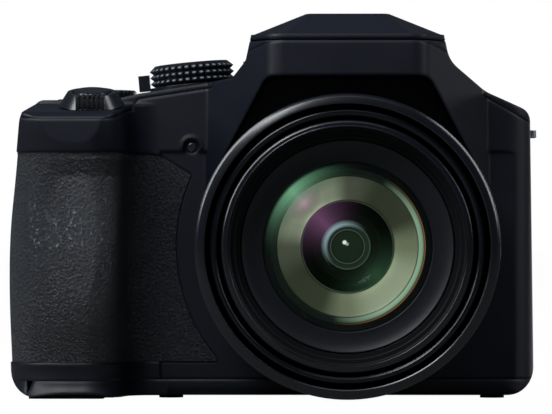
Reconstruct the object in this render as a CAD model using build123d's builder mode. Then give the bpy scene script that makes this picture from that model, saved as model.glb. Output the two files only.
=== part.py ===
from build123d import *
from math import asin, cos, hypot, radians, sin
import os

# Bridge camera with a fixed long zoom lens, in millimetres. X runs along the body to the
# viewer's right, the lens looks along -Y, and Z is up from the underside. The origin is the
# mouth of the tripod socket, straight below the optical axis.

os.makedirs("parts", exist_ok=True)

# Body
grip_end_x = -83.0
far_end_x = 46.3
front_y = -22.4
rear_y = 20.0
cover_wall = 2.0
deck_wall = 1.4
parting_y = 12.0
base_top_z = 4.0
seat_gap = 0.25
running_gap = 0.3
pin_gap = 0.05
overrun = 6.0
reach = 140.0

# Body outline seen from the front
end_foot_z = 40.0
grip_shoulder_x = -79.6
grip_shoulder_z = 68.4
deck_end_x = -76.6
deck_low_z = 73.1
deck_step_x = -58.4
dial_deck_x = -51.6
dial_deck_z = 74.7
deck_root_x = -28.2
deck_root_z = 78.3
hump_foot_x = 24.9
hump_side_x = 23.5
roof_z = 94.5
hump_foot_drop = 12.3
hump_foot_z = roof_z - hump_foot_drop
hump_shoulder_drop = 6.1
hump_shoulder_z = roof_z - hump_shoulder_drop
right_flare_x = 34.0
right_flare_z = 75.2
right_shoulder_x = 45.3
right_shoulder_z = 70.2
foot_radius = 7.0
end_radius = 9.0
right_front_radius = 8.0
base_edge_radius = 2.5

# Grip
grip_front_y = -48.6
grip_inner_x = -56.5
grip_valley_x = -53.4
grip_nose_radius = 15.0
grip_inner_radius = 9.0
grip_side_gap = 0.1
grip_heights = [0.0, 18.0, 38.0, 52.0, 61.0, 76.0]
grip_draw_backs = [6.3, 2.2, 0.2, 2.2, 0.3, 1.0]
grip_chamfer_y = -40.5
grip_chamfer_z = 12.0
grip_root_y = -10.0
rubber_recess = 0.35
rubber_wall = 1.5
rubber_low_z = 8.4
rubber_high_z = 59.9
rubber_rear_y = 4.0
rubber_arc_radius = 42.6
rubber_corner_x = -47.5
rubber_notch_z = 50.8
deck_front_y = -45.6
deck_front_z = 69.5
deck_edge_z = 65.6
deck_bend_y = -14.0

# Hump roof, nose and arch. Their heights and the finder's hang from the roof.
roof_half_width = 10.3
roof_front_y = -22.0
roof_rear_y = 9.0
roof_corner = 2.0
lid_front_y = -46.6
lid_front_half_width = 15.5
lid_corner_y = -35.0
nose_front_y = -47.4
nose_drop = 16.2
nose_bottom_z = roof_z - nose_drop
nose_half_width = 18.3
nose_radius = 5.0
cheek_half_width = 36.0
cheek_foot_z = 50.0
arch_step = 1.3
arch_half_width = nose_half_width + arch_step
arch_foot_step = 0.6
arch_foot_half_width = cheek_half_width + arch_foot_step
arch_foot_z = 48.0
arch_radius = 3.5
lid_drop = 7.7
nose_seam_front_z = roof_z - lid_drop
nose_seam_y = -24.0
nose_seam_drop = 14.1
nose_seam_z = roof_z - nose_seam_drop
face_recess = 0.7

# Lens, as radii about the optical axis. Each tube slides in the next with its own clearance.
filter_radius = 27.5
filter_depth = 3.4
slide_gap = 1.0
front_wall = 2.1
mid_wall = 1.8
barrel_wall = 1.6
rear_wall = 2.9
front_radius = filter_radius + front_wall
mid_bore = front_radius + slide_gap
mid_radius = mid_bore + mid_wall
barrel_bore = mid_radius + slide_gap
barrel_radius = barrel_bore + barrel_wall
foot_step = 1.0
barrel_foot_radius = barrel_radius + foot_step
bezel_step = 0.8
bezel_radius = barrel_radius + bezel_step
name_ring_step = 2.2
name_ring_radius = filter_radius - name_ring_step
front_step = 1.1
front_bore = filter_radius - front_step
rear_tube_bore = front_bore - running_gap
rear_tube_radius = rear_tube_bore + rear_wall
cam_radius = rear_tube_bore - running_gap
cam_wall = 1.2
cam_bore = cam_radius - cam_wall
glass_step = 5.3
glass_radius = name_ring_radius - glass_step
bezel_front_y = -85.2
bezel_chamfer = 0.6
bezel_length = 8.0
barrel_foot_length = 4.0
mount_face_y = -21.8
mid_front_y = -84.4
mid_rear_y = -32.0
front_ring_y = -84.6
front_ring_rear_y = -36.0
collar_length = 6.0
rear_plate = 2.0
floor_clearance = 0.8
lens_axis_height = barrel_foot_radius + floor_clearance

lens_axis = Axis((0, 0, lens_axis_height), (0, 1, 0))


def outlined(plane, corners, radii, depth, inset=0):
    """A rounded outline drawn on a plane and carried along its normal."""
    with BuildPart() as prism:
        with BuildSketch(plane):
            with BuildLine():
                FilletPolyline(*corners, radius=radii, close=True)
            make_face()
            if inset:
                offset(amount=-inset)
        extrude(amount=depth)
    return prism.part


def front_prism(corners, radii, y_near, y_far, inset=0):
    """An outline seen from the front, from y_near in front to y_far behind."""
    return outlined(Plane.XZ.offset(-y_far), corners, radii, y_far - y_near, inset)


def side_prism(corners, radii, x_low, x_high, inset=0):
    """An outline seen from the side, between two places along the body."""
    return outlined(Plane.YZ.offset(x_low), corners, radii, x_high - x_low, inset)


def plan_prism(corners, radii, z_low, z_high, inset=0):
    """An outline seen from above, between two heights."""
    return outlined(Plane.XY.offset(z_low), corners, radii, z_high - z_low, inset)


def block(low, high):
    """A square block between two opposite corners."""
    with BuildPart() as solid:
        with Locations(low):
            Box(high[0] - low[0], high[1] - low[1], high[2] - low[2],
                align=(Align.MIN, Align.MIN, Align.MIN))
    return solid.part


def turned(corners):
    """A piece turned about the lens axis, from corners of place along it and radius."""
    with BuildPart() as piece:
        with BuildSketch(Plane.YZ):
            with BuildLine():
                Polyline(*[(y, lens_axis_height + radius) for y, radius in corners], close=True)
            make_face()
        revolve(axis=lens_axis)
    return piece.part


def disc(plane, radius, low, high):
    """A plain round solid on a plane's normal, between two heights above the plane."""
    with BuildPart() as solid:
        with BuildSketch(plane.offset(low)):
            Circle(radius)
        extrude(amount=high - low)
    return solid.part


def rounded_block(plane, width, height, corner, low, high):
    """A rounded rectangle on a plane, carried between two heights above the plane."""
    with BuildPart() as solid:
        with BuildSketch(plane.offset(low)):
            RectangleRounded(width, height, corner)
        extrude(amount=high - low)
    return solid.part


# Buttons
button_flange = 0.7
button_travel = 0.5
button_proud = 0.7
button_round_share = 0.6


def push_button(plane, radius, wall, proud=button_proud):
    """A round button with a softened top, and a flange that keeps it under the cover's wall."""
    with BuildPart() as button:
        add(disc(plane, radius, -wall - running_gap, proud))
        top = button.edges().sort_by(Axis(plane.origin, plane.z_dir))[-1]
        fillet(top, radius=proud * button_round_share)
        add(disc(plane, radius + button_flange, -wall - running_gap - button_flange,
                 -wall - running_gap))
    return button.part


def button_well(plane, radius, wall):
    """The room of a button: its hole through the wall and its flange's pocket behind."""
    with BuildPart() as well:
        add(disc(plane, radius + running_gap, -wall - running_gap, overrun))
        add(disc(plane, radius + button_flange + running_gap,
                 -wall - running_gap * 2 - button_flange - button_travel, -wall))
    return well.part


# Outlines of the body. The lens side faces the viewer.
slide_share = (deck_front_z - deck_low_z) / (deck_front_y - deck_bend_y)
front_corners = [
    (grip_end_x, 0), (grip_end_x, end_foot_z), (grip_shoulder_x, grip_shoulder_z),
    (deck_end_x, deck_low_z), (deck_step_x, deck_low_z), (dial_deck_x, dial_deck_z),
    (deck_root_x, deck_root_z), (-hump_foot_x, hump_foot_z), (-hump_side_x, hump_shoulder_z),
    (hump_side_x, hump_shoulder_z), (hump_foot_x, hump_foot_z), (right_flare_x, right_flare_z),
    (right_shoulder_x, right_shoulder_z), (far_end_x, 0)]
front_radius_shares = [1, 18, 1, 0.4, 0.5, 0.5, 0.2, 0.4, 0, 0, 1, 2, 0.5, 1]
front_radii = [share * foot_radius for share in front_radius_shares]
slab_plan = [(grip_end_x, rear_y), (grip_end_x, front_y), (far_end_x, front_y), (far_end_x, rear_y)]
slab_plan_radii = [end_radius, 0, right_front_radius, foot_radius]
slab_side = [(rear_y, 0), (front_y, 0), (front_y, roof_z), (rear_y, roof_z)]
slab_side_radii = [base_edge_radius, base_edge_radius, 0, 0]
grip_side = [
    (rear_y, 0), (grip_chamfer_y, 0), (grip_chamfer_y - grip_chamfer_z, grip_chamfer_z),
    (grip_chamfer_y - grip_chamfer_z, deck_edge_z), (deck_front_y, deck_front_z),
    (deck_bend_y, deck_low_z), (rear_y, deck_low_z)]
grip_side_radii = [
    base_edge_radius, foot_radius, 0, 0, foot_radius / 2, foot_radius, 0]


def grip_form(inset):
    """The hand grip, lofted through rounded sections one above the other."""
    with BuildPart() as form:
        for height, draw_back in zip(grip_heights, grip_draw_backs):
            nose_y = grip_front_y + draw_back
            with BuildSketch(Plane.XY.offset(height)):
                with BuildLine():
                    FilletPolyline(
                        (grip_end_x - grip_side_gap, grip_root_y),
                        (grip_end_x - grip_side_gap, nose_y), (grip_inner_x, nose_y),
                        (grip_valley_x, front_y), (grip_valley_x + end_radius, front_y),
                        (grip_valley_x + end_radius, grip_root_y),
                        radius=[0, grip_nose_radius, grip_inner_radius, foot_radius, 0, 0],
                        close=True)
                make_face()
                if inset:
                    offset(amount=-inset)
        loft()
    return form.part


def body_mass(inset):
    """The slab of the body and its grip, drawn in from the outside by a wall."""
    with BuildPart() as slab:
        add(front_prism(front_corners, front_radii, front_y, rear_y, inset))
        add(plan_prism(slab_plan, slab_plan_radii, 0, roof_z, inset), mode=Mode.INTERSECT)
        add(side_prism(slab_side, slab_side_radii, grip_end_x, far_end_x, inset),
            mode=Mode.INTERSECT)
    with BuildPart() as grip:
        add(front_prism(front_corners, front_radii, grip_front_y, rear_y, inset))
        add(grip_form(inset), mode=Mode.INTERSECT)
        add(side_prism(grip_side, grip_side_radii, grip_end_x, 0, inset), mode=Mode.INTERSECT)
    return slab.part + grip.part


with BuildPart() as prow:
    add(front_prism(front_corners, front_radii, nose_front_y, front_y + cover_wall))
    prow_plan = [(-cheek_half_width, front_y + cover_wall), (-nose_half_width, nose_front_y),
                 (nose_half_width, nose_front_y), (cheek_half_width, front_y + cover_wall)]
    add(plan_prism(prow_plan, [0, nose_radius, nose_radius, 0], 0, roof_z), mode=Mode.INTERSECT)
    prow_side = [(nose_front_y, nose_bottom_z), (nose_front_y, roof_z),
                 (front_y + cover_wall, roof_z), (front_y + cover_wall, cheek_foot_z)]
    add(side_prism(prow_side, [0, 0, 0, 0], -cheek_half_width, cheek_half_width),
        mode=Mode.INTERSECT)
    arch = [(-arch_foot_half_width, arch_foot_z), (-arch_half_width, nose_bottom_z),
            (arch_half_width, nose_bottom_z), (arch_foot_half_width, arch_foot_z)]
    add(front_prism(arch, [0, arch_radius, arch_radius, 0], nose_front_y - overrun, front_y),
        mode=Mode.SUBTRACT)

with BuildPart() as roof:
    with BuildSketch(Plane.XY.offset(hump_shoulder_z)):
        with BuildLine():
            Polyline((-hump_side_x, rear_y), (-hump_side_x, lid_corner_y),
                     (-lid_front_half_width, lid_front_y), (lid_front_half_width, lid_front_y),
                     (hump_side_x, lid_corner_y), (hump_side_x, rear_y), close=True)
        make_face()
    with BuildSketch(Plane.XY.offset(roof_z)):
        with BuildLine():
            Polyline((-roof_half_width, roof_rear_y), (-roof_half_width, roof_front_y + roof_corner),
                     (-roof_half_width + roof_corner / 2, roof_front_y),
                     (roof_half_width - roof_corner / 2, roof_front_y),
                     (roof_half_width, roof_front_y + roof_corner), (roof_half_width, roof_rear_y),
                     close=True)
        make_face()
    loft(ruled=True)

# The solid outer form of the whole body, and its hollow under the deck's seam.
body_form = body_mass(0) + prow.part + roof.part

seam_low_x = grip_valley_x + running_gap
left_seam = [
    (-reach, deck_front_z - deck_wall + (deck_front_y + reach) * -slide_share),
    (deck_bend_y, deck_low_z - deck_wall), (reach, deck_low_z - deck_wall), (reach, reach),
    (-reach, reach)]
middle_seam = [
    (seam_low_x, deck_low_z - deck_wall), (dial_deck_x, dial_deck_z - deck_wall),
    (deck_root_x, deck_root_z - deck_wall), (-hump_foot_x, nose_seam_z),
    (hump_foot_x, nose_seam_z), (right_flare_x, right_flare_z - deck_wall),
    (right_shoulder_x, right_shoulder_z - deck_wall * 2), (reach, right_shoulder_z - deck_wall * 2),
    (reach, reach), (seam_low_x, reach)]
nose_seam = [
    (nose_front_y - overrun, nose_seam_front_z), (nose_front_y, nose_seam_front_z),
    (nose_seam_y, nose_seam_z), (nose_seam_y, reach), (nose_front_y - overrun, reach)]
with BuildPart() as top_region:
    add(side_prism(left_seam, [0] * len(left_seam), -reach, seam_low_x))
    add(front_prism(middle_seam, [0] * len(middle_seam), nose_seam_y, reach))
    add(side_prism(nose_seam, [0] * len(nose_seam), -hump_foot_x, hump_foot_x))

hollow_form = body_mass(cover_wall)
raised_hollow = hollow_form.moved(Location((0, 0, cover_wall - deck_wall + seat_gap)))
deck_hollow = raised_hollow & body_mass(deck_wall - seat_gap)
body_hollow = hollow_form + deck_hollow - top_region.part

# Flash head: its hinge runs along the body inside the hump.
pivot_y = 6.0
hinge_radius = 6.5
pivot_z = roof_z - hinge_radius
hinge_half_length = 19.6
lid_gap_z = nose_seam_front_z
lid_bottom_z = lid_gap_z + running_gap
lid_ear_step = 5.0
lid_ear_y = pivot_y - lid_ear_step
lid_ear_gap = running_gap * 2
lid_rear_step = 1.0
lid_rear_y = pivot_y - lid_rear_step
lid_swing_gap = 0.75
flash_pin_radius = 1.0
flash_pin_end = 1.6
flash_pin_half_length = hinge_half_length + flash_pin_end
well_half_width = 16.0
well_front_y = nose_front_y + cover_wall
well_rear_y = -4.0
well_depth = 5.2
well_floor_z = lid_gap_z - well_depth
hinge_plane = Plane((0, pivot_y, pivot_z), x_dir=(0, 1, 0), z_dir=(1, 0, 0))
with BuildPart() as lid_room:
    add(block((-reach, -reach, lid_gap_z), (reach, lid_ear_y + lid_ear_gap, reach)))
    add(block((-hinge_half_length - running_gap, -reach, lid_gap_z),
              (hinge_half_length + running_gap, pivot_y, reach)))
    add(disc(hinge_plane, hinge_radius + lid_swing_gap, -hinge_half_length - running_gap,
             hinge_half_length + running_gap))
    add(block((-well_half_width, well_front_y, well_floor_z),
              (well_half_width, well_rear_y, lid_gap_z + running_gap)))

# Room for the lens: its foot sits in a round seat in the body's face.
with BuildPart() as lens_room:
    add(turned([(-reach, 0), (-reach, barrel_foot_radius + running_gap),
                (mount_face_y, barrel_foot_radius + running_gap),
                (mount_face_y, rear_tube_radius + running_gap),
                (parting_y, rear_tube_radius + running_gap), (parting_y, 0)]))

# Grip rubber: a moulded skin round the grip, up to the arc round the lens.
rubber_outline = [
    (-reach, rubber_low_z), (grip_valley_x + grip_nose_radius + overrun, rubber_low_z),
    (grip_valley_x + grip_nose_radius + overrun, rubber_notch_z),
    (rubber_corner_x, rubber_high_z), (-reach, rubber_high_z)]
with BuildPart() as rubber_zone:
    add(front_prism(rubber_outline, [0, 0, 0, end_radius, 0], -reach, rubber_rear_y))
    add(turned([(-reach, 0), (-reach, rubber_arc_radius), (reach, rubber_arc_radius), (reach, 0)]),
        mode=Mode.SUBTRACT)
with BuildPart() as grip_rubber:
    add(rubber_zone.part)
    add(body_mass(rubber_recess), mode=Mode.INTERSECT)
    add(body_mass(rubber_wall), mode=Mode.SUBTRACT)
with BuildPart() as rubber_room:
    add(rubber_zone.part)
    add(body_mass(rubber_wall), mode=Mode.SUBTRACT)
grip_rubber.part.label = "grip_rubber"
export_step(grip_rubber.part, "parts/grip_rubber.step")

# The lower front face lies a little behind the band above it.
face_step = [
    (front_y - face_recess * 2, -overrun), (front_y + face_recess, -overrun),
    (front_y + face_recess, rubber_high_z), (front_y - face_recess, rubber_high_z + face_recess * 2),
    (front_y - face_recess * 2, rubber_high_z + face_recess * 2)]
with BuildPart() as face_cut:
    add(side_prism(face_step, [0] * len(face_step), grip_valley_x + foot_radius, reach))
    add(rubber_zone.part, mode=Mode.SUBTRACT)
    add(prow.part, mode=Mode.SUBTRACT)

# Places on the covers
shutter_tilt = radians(13)
shutter_place = (-62.7, -33.0, 71.6)
shutter_plane = Plane(shutter_place, x_dir=(1, 0, 0),
                      z_dir=(0, -sin(shutter_tilt), cos(shutter_tilt)))
dial_tilt = radians(5.4)
dial_place = (-38.9, -3.0, 77.4)
dial_plane = Plane(dial_place, x_dir=(cos(dial_tilt), 0, sin(dial_tilt)),
                   z_dir=(-sin(dial_tilt), 0, cos(dial_tilt)))
record_place = (-70.5, -6.0, deck_low_z)
record_plane = Plane(record_place)
drive_place = (-61.5, -6.0, deck_low_z)
drive_plane = Plane(drive_place)
rear_dial_place = (-60.5, 11.8, deck_low_z)
rear_dial_plane = Plane(rear_dial_place)
flash_button_rise = 0.4
flash_button_place = (-hump_foot_x, 2.0, hump_foot_z + flash_button_rise)
flash_button_plane = Plane(flash_button_place, x_dir=(0, 1, 0), z_dir=(-1, 0, 0))
lamp_place = (-38.6, front_y, 61.4)
lamp_plane = Plane(lamp_place, x_dir=(1, 0, 0), z_dir=(0, -1, 0))


def rear_plane(x, z):
    """A plane on the rear face, looking backward."""
    return Plane((x, rear_y, z), x_dir=(-1, 0, 0), z_dir=(0, 1, 0))


lock_place = (-42.0, 64.0)
lock_plane = rear_plane(*lock_place)
playback_place = (-40.5, 46.5)
playback_plane = rear_plane(*playback_place)
display_place = (-41.0, 12.5)
display_plane = rear_plane(*display_place)
delete_place = (-65.0, 12.5)
delete_plane = rear_plane(*delete_place)
pad_place = (-53.0, 30.0)
pad_plane = rear_plane(*pad_place)
finder_drop = 20.9
finder_z = roof_z - finder_drop
eyepiece_plane = rear_plane(0, finder_z)

# Top deck pieces
boss_radius = 8.2
boss_depth = 4.0
shutter_collar_radius = 4.5
shutter_stem_radius = 1.8
shutter_clip_radius = 2.8
lever_low_radius = 8.0
lever_high_radius = 6.0
lever_height = 3.2
shutter_height = 3.7
shutter_cap_low = 1.2
shutter_collar_height = 0.6
lever_tab_width = 7.0
lever_tab_reach = 8.6
lever_sweep = hypot(lever_tab_reach, lever_tab_width / 2)
lever_rib = 0.45
lever_rib_count = 5
dial_radius = 10.6
dial_ridge = 0.9
dial_ridge_pitch = 1.55
dial_ridge_count = 3
dial_stud_count = 36
dial_low = 0.4
dial_crown = 0.5
dial_shaft_radius = 3.0
dial_boss_radius = 11.2
dial_boss_depth = 5.0
power_low = -0.7
power_high = 0.1
power_ring_radius = 10.8
power_collar_radius = 6.0
power_tab_radius = 13.5
power_tab_width = 4.4
power_tab_height = 3.2
record_radius = 2.4
drive_radius = 2.0
rear_dial_radius = 6.7
rear_dial_height = 3.2
rear_dial_stud_count = 30
rear_dial_shaft_radius = 2.0
flash_button_length = 7.0
flash_button_height = 1.8
flash_button_proud = 1.4

# Rear pieces
lock_radius = 2.6
small_button_radius = 2.4
menu_radius = 4.2
pad_radius = 9.5
pad_recess = 2.0
pad_boss = 3.0
window_low_x = -28.0
window_high_x = 43.0
window_low_z = 6.0
window_high_z = 58.0
window_thick = 1.6
window_recess = 1.0
window_frame = 4.0
eyecup_width = 38.0
eyecup_height = 25.0
eyecup_depth = 14.0
eyecup_radius = 7.0
eyepiece_width = 18.0
eyepiece_height = 11.6
tunnel_wall = 1.5
diopter_radius = 3.5
diopter_x = 19.6
diopter_width = 3.0
diopter_y = 20.5
diopter_drop = 2.1
diopter_z = finder_z - diopter_drop
diopter_shaft_radius = 0.8

# Round bosses that carry the shutter and the mode dial, and the room above each
with BuildPart() as deck_bosses:
    add(disc(shutter_plane, boss_radius, -boss_depth, -running_gap))
    add(disc(shutter_plane, shutter_collar_radius, -boss_depth, shutter_collar_height))
    add(disc(dial_plane, dial_boss_radius, -dial_boss_depth, power_low - seat_gap))
    add(disc(dial_plane, power_collar_radius, -dial_boss_depth, power_high))
    add(body_hollow + top_region.part, mode=Mode.INTERSECT)
with BuildPart() as deck_rooms:
    add(disc(shutter_plane, lever_sweep + running_gap, -running_gap, overrun))
    add(disc(dial_plane, dial_boss_radius, power_low - seat_gap, overrun))
    add(disc(dial_plane, power_tab_radius + running_gap, power_low, overrun)
        & block((-reach, -reach, 0), (dial_plane.origin.X - dial_boss_radius / 2, reach, reach)))
    add(disc(rear_dial_plane, rear_dial_radius + running_gap, 0, overrun))

# Top cover
with BuildPart() as top_cover:
    add(body_form)
    add(top_region.part, mode=Mode.INTERSECT)
    add(body_hollow, mode=Mode.SUBTRACT)
    add(deck_rooms.part, mode=Mode.SUBTRACT)
    add(deck_bosses.part)
    add(lid_room.part, mode=Mode.SUBTRACT)
    add(disc(hinge_plane, flash_pin_radius, -flash_pin_half_length, flash_pin_half_length),
        mode=Mode.SUBTRACT)
    add(disc(shutter_plane, shutter_stem_radius + running_gap, -overrun, overrun),
        mode=Mode.SUBTRACT)
    add(disc(dial_plane, dial_shaft_radius + pin_gap, -overrun, overrun), mode=Mode.SUBTRACT)
    add(button_well(record_plane, record_radius, deck_wall), mode=Mode.SUBTRACT)
    add(button_well(drive_plane, drive_radius, deck_wall), mode=Mode.SUBTRACT)
    add(disc(rear_dial_plane, rear_dial_shaft_radius + pin_gap, -overrun, overrun),
        mode=Mode.SUBTRACT)
    add(rounded_block(flash_button_plane, flash_button_length + running_gap * 2,
                      flash_button_height + running_gap * 2, flash_button_height / 2,
                      -cover_wall, overrun), mode=Mode.SUBTRACT)
top_cover.part.label = "top_cover"
export_step(top_cover.part, "parts/top_cover.step")

# Front cover: face, grip core, nose and arch in one moulding.
lamp_window_radius = 1.4
lamp_ring_radius = 2.8
lamp_mouth_radius = 2.1
lamp_depth = 0.7
port_low_y = -8.0
port_high_y = 9.0
port_low_z = 20.0
port_high_z = 46.0
port_door_thick = 1.4
port_door_x = far_end_x - cover_wall
lug_length = 13.0
lug_thick = 1.7
lug_slot_length = 9.0
lug_slot_width = 1.3
lug_bar = 0.8
lug_y = 3.0
right_lug_z = 65.2
left_lug_z = 60.9
right_lug_x = 45.2
left_lug_x = -80.9
lug_root = 3.4
port_room = block((port_door_x - overrun, port_low_y - running_gap, port_low_z - running_gap),
                  (reach, port_high_y + running_gap, port_high_z + running_gap))
right_lug_plane = Plane((right_lug_x, lug_y, right_lug_z))
left_lug_plane = Plane((left_lug_x, lug_y, left_lug_z), x_dir=(-1, 0, 0), z_dir=(0, 0, 1))


def lug_plate(plane, root, tip):
    """The plate of a strap eyelet without its slot, from its root to its outer bar."""
    return disc_ended(plane, root, tip, lug_length, lug_thick)


def disc_ended(plane, root, tip, length, thick):
    """A flat plate with rounded outer corners that stands out along a plane's X."""
    with BuildPart() as plate:
        with BuildSketch(plane.offset(-thick / 2)):
            with BuildLine():
                FilletPolyline((-root, -length / 2), (tip, -length / 2), (tip, length / 2),
                               (-root, length / 2), radius=[0, tip / 2, tip / 2, 0], close=True)
            make_face()
        extrude(amount=thick)
    return plate.part


lug_tip = lug_slot_width + lug_bar + running_gap
with BuildPart() as front_cover:
    add(body_form)
    add(top_region.part, mode=Mode.SUBTRACT)
    add(block((-reach, -reach, base_top_z), (reach, parting_y, reach)), mode=Mode.INTERSECT)
    add(disc(lamp_plane, lamp_ring_radius, -cover_wall, lamp_depth / 2))
    add(body_hollow, mode=Mode.SUBTRACT)
    add(face_cut.part, mode=Mode.SUBTRACT)
    add(rubber_room.part, mode=Mode.SUBTRACT)
    add(lid_room.part, mode=Mode.SUBTRACT)
    add(lens_room.part, mode=Mode.SUBTRACT)
    add(disc(lamp_plane, lamp_mouth_radius, -lamp_depth, overrun), mode=Mode.SUBTRACT)
    add(disc(lamp_plane, lamp_window_radius, -overrun, overrun), mode=Mode.SUBTRACT)
    add(port_room, mode=Mode.SUBTRACT)
    add(lug_plate(right_lug_plane, lug_root, lug_tip), mode=Mode.SUBTRACT)
    add(lug_plate(left_lug_plane, lug_root, lug_tip), mode=Mode.SUBTRACT)
front_cover.part.label = "front_cover"
export_step(front_cover.part, "parts/front_cover.step")

# Rear cover with its eyepiece tunnel, screen opening and board posts
board_front_y = 9.6
board_rear_y = 11.0
board_low_z = 9.0
board_high_z = 56.0
board_low_x = -46.0
board_high_x = 43.5
post_radius = 1.9
post_inset = 2.2
window_x = (window_low_x + window_high_x) / 2
window_z = (window_low_z + window_high_z) / 2
window_plane = rear_plane(window_x, window_z)
window_width = window_high_x - window_low_x
window_height = window_high_z - window_low_z
with BuildPart() as rear_cover:
    add(body_form)
    add(top_region.part, mode=Mode.SUBTRACT)
    add(block((-reach, parting_y, base_top_z), (reach, reach, reach)), mode=Mode.INTERSECT)
    add(body_hollow, mode=Mode.SUBTRACT)
    add(rounded_block(eyepiece_plane, eyepiece_width + tunnel_wall * 2,
                      eyepiece_height + tunnel_wall, tunnel_wall, parting_y - rear_y, 0))
    add(disc(pad_plane, pad_radius + tunnel_wall, -pad_recess - pad_boss, 0))
    for post_x in (board_low_x + post_inset, board_high_x - post_inset):
        for post_z in (board_low_z + post_inset, board_high_z - post_inset):
            add(disc(rear_plane(post_x, post_z), post_radius, board_rear_y - rear_y, 0))
    add(block((diopter_x - running_gap - tunnel_wall, rear_y - overrun, diopter_z - diopter_radius),
              (diopter_x - running_gap, rear_y, diopter_z + diopter_radius)))
    add(rounded_block(eyepiece_plane, eyepiece_width + running_gap, eyepiece_height + running_gap,
                      tunnel_wall, parting_y - rear_y - overrun, overrun), mode=Mode.SUBTRACT)
    add(rounded_block(window_plane, window_width + seat_gap, window_height + seat_gap,
                      window_frame / 2, -window_recess, overrun), mode=Mode.SUBTRACT)
    add(rounded_block(window_plane, window_width - window_frame * 3,
                      window_height - window_frame * 2, window_frame / 2, -cover_wall * 2, overrun),
        mode=Mode.SUBTRACT)
    add(block((diopter_x - running_gap, diopter_y - diopter_radius - running_gap,
               diopter_z - diopter_radius - running_gap),
              (diopter_x + diopter_width + running_gap, reach,
               diopter_z + diopter_radius + running_gap)), mode=Mode.SUBTRACT)
    diopter_plane = Plane((diopter_x, diopter_y - cover_wall, diopter_z), x_dir=(0, 1, 0),
                          z_dir=(1, 0, 0))
    add(disc(diopter_plane, diopter_shaft_radius + pin_gap, -running_gap - tunnel_wall,
             diopter_width + tunnel_wall), mode=Mode.SUBTRACT)
    add(disc(pad_plane, pad_radius + running_gap, -pad_recess, overrun), mode=Mode.SUBTRACT)
    add(button_well(pad_plane, menu_radius, pad_recess + pad_boss), mode=Mode.SUBTRACT)
    add(button_well(lock_plane, lock_radius, cover_wall), mode=Mode.SUBTRACT)
    for well_plane in (playback_plane, display_plane, delete_plane):
        add(button_well(well_plane, small_button_radius, cover_wall), mode=Mode.SUBTRACT)
rear_cover.part.label = "rear_cover"
export_step(rear_cover.part, "parts/rear_cover.step")

# Base cover, battery door and their hinge
door_low_x = -78.0
door_high_x = -59.7
door_swing_gap = 0.6
door_low_y = -37.0
door_high_y = 6.0
door_drop = 0.4
door_top_z = 1.8
door_hinge_x = -57.6
door_hinge_z = 1.3
door_knuckle_radius = 1.5
door_knuckle_low_y = -28.0
door_knuckle_high_y = -5.0
door_ear = 2.4
door_pin_radius = 0.7
socket_radius = 5.5
socket_flange_radius = 7.0
socket_bore = 3.175
socket_bore_length = 5.5
socket_height = 6.0
socket_flange = 1.0
screw_places = [(-30.0, 13.0), (-30.0, -16.0), (24.0, 13.0), (24.0, -16.0)]
screw_head_radius = 1.6
screw_head_height = 0.9
screw_radius = 0.9
screw_length = 5.5
screw_boss_radius = 2.3
hinge_line = Plane((door_hinge_x, door_knuckle_low_y, door_hinge_z), x_dir=(1, 0, 0),
                   z_dir=(0, 1, 0))
knuckle_length = door_knuckle_high_y - door_knuckle_low_y
with BuildPart() as base_cover:
    add(body_form)
    add(block((-reach, -reach, 0), (reach, reach, base_top_z)), mode=Mode.INTERSECT)
    add(body_hollow, mode=Mode.SUBTRACT)
    add(lens_room.part, mode=Mode.SUBTRACT)
    for place_x, place_y in screw_places:
        add(disc(Plane((place_x, place_y, 0)), screw_boss_radius, 0, screw_length + seat_gap))
    add(block((door_low_x - running_gap, door_low_y - running_gap, -overrun),
              (door_high_x + door_swing_gap, door_high_y + running_gap, base_top_z)),
        mode=Mode.SUBTRACT)
    add(block((door_high_x - running_gap, door_knuckle_low_y - running_gap, -overrun),
              (door_hinge_x + door_knuckle_radius + door_swing_gap,
               door_knuckle_high_y + running_gap, base_top_z)), mode=Mode.SUBTRACT)
    add(disc(hinge_line, door_pin_radius, -door_ear, knuckle_length + door_ear),
        mode=Mode.SUBTRACT)
    add(disc(Plane.XY, socket_radius, -overrun, overrun), mode=Mode.SUBTRACT)
    for place_x, place_y in screw_places:
        add(disc(Plane((place_x, place_y, 0)), screw_head_radius + seat_gap, -overrun,
                 screw_head_height + seat_gap), mode=Mode.SUBTRACT)
        add(disc(Plane((place_x, place_y, 0)), screw_radius, -overrun, screw_length),
            mode=Mode.SUBTRACT)
base_cover.part.label = "base_cover"
export_step(base_cover.part, "parts/base_cover.step")

lock_slide_x = -70.5
lock_slide_y = -16.0
lock_width = 3.6
lock_length = 7.0
lock_travel = 2.0
lock_thick = 1.0
with BuildPart() as battery_door:
    add(block((door_low_x, door_low_y, -door_drop), (door_high_x, door_high_y, door_top_z)))
    fillet(battery_door.edges().filter_by(Axis.Z), radius=door_drop * 4)
    add(block((door_high_x - running_gap, door_knuckle_low_y, -door_drop),
              (door_hinge_x, door_knuckle_high_y, door_top_z)))
    add(disc(hinge_line, door_knuckle_radius, 0, knuckle_length))
    add(disc(hinge_line, door_pin_radius + pin_gap, -overrun, knuckle_length + overrun),
        mode=Mode.SUBTRACT)
    add(block((lock_slide_x - lock_width / 2 - seat_gap, lock_slide_y - lock_length / 2 - seat_gap,
               -overrun),
              (lock_slide_x + lock_width / 2 + seat_gap,
               lock_slide_y + lock_length / 2 + lock_travel + seat_gap, lock_thick)),
        mode=Mode.SUBTRACT)
battery_door.part.label = "battery_door"
export_step(battery_door.part, "parts/battery_door.step")

with BuildPart() as door_pin:
    add(disc(hinge_line, door_pin_radius, -door_ear, knuckle_length + door_ear))
door_pin.part.label = "door_pin"
export_step(door_pin.part, "parts/door_pin.step")

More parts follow.
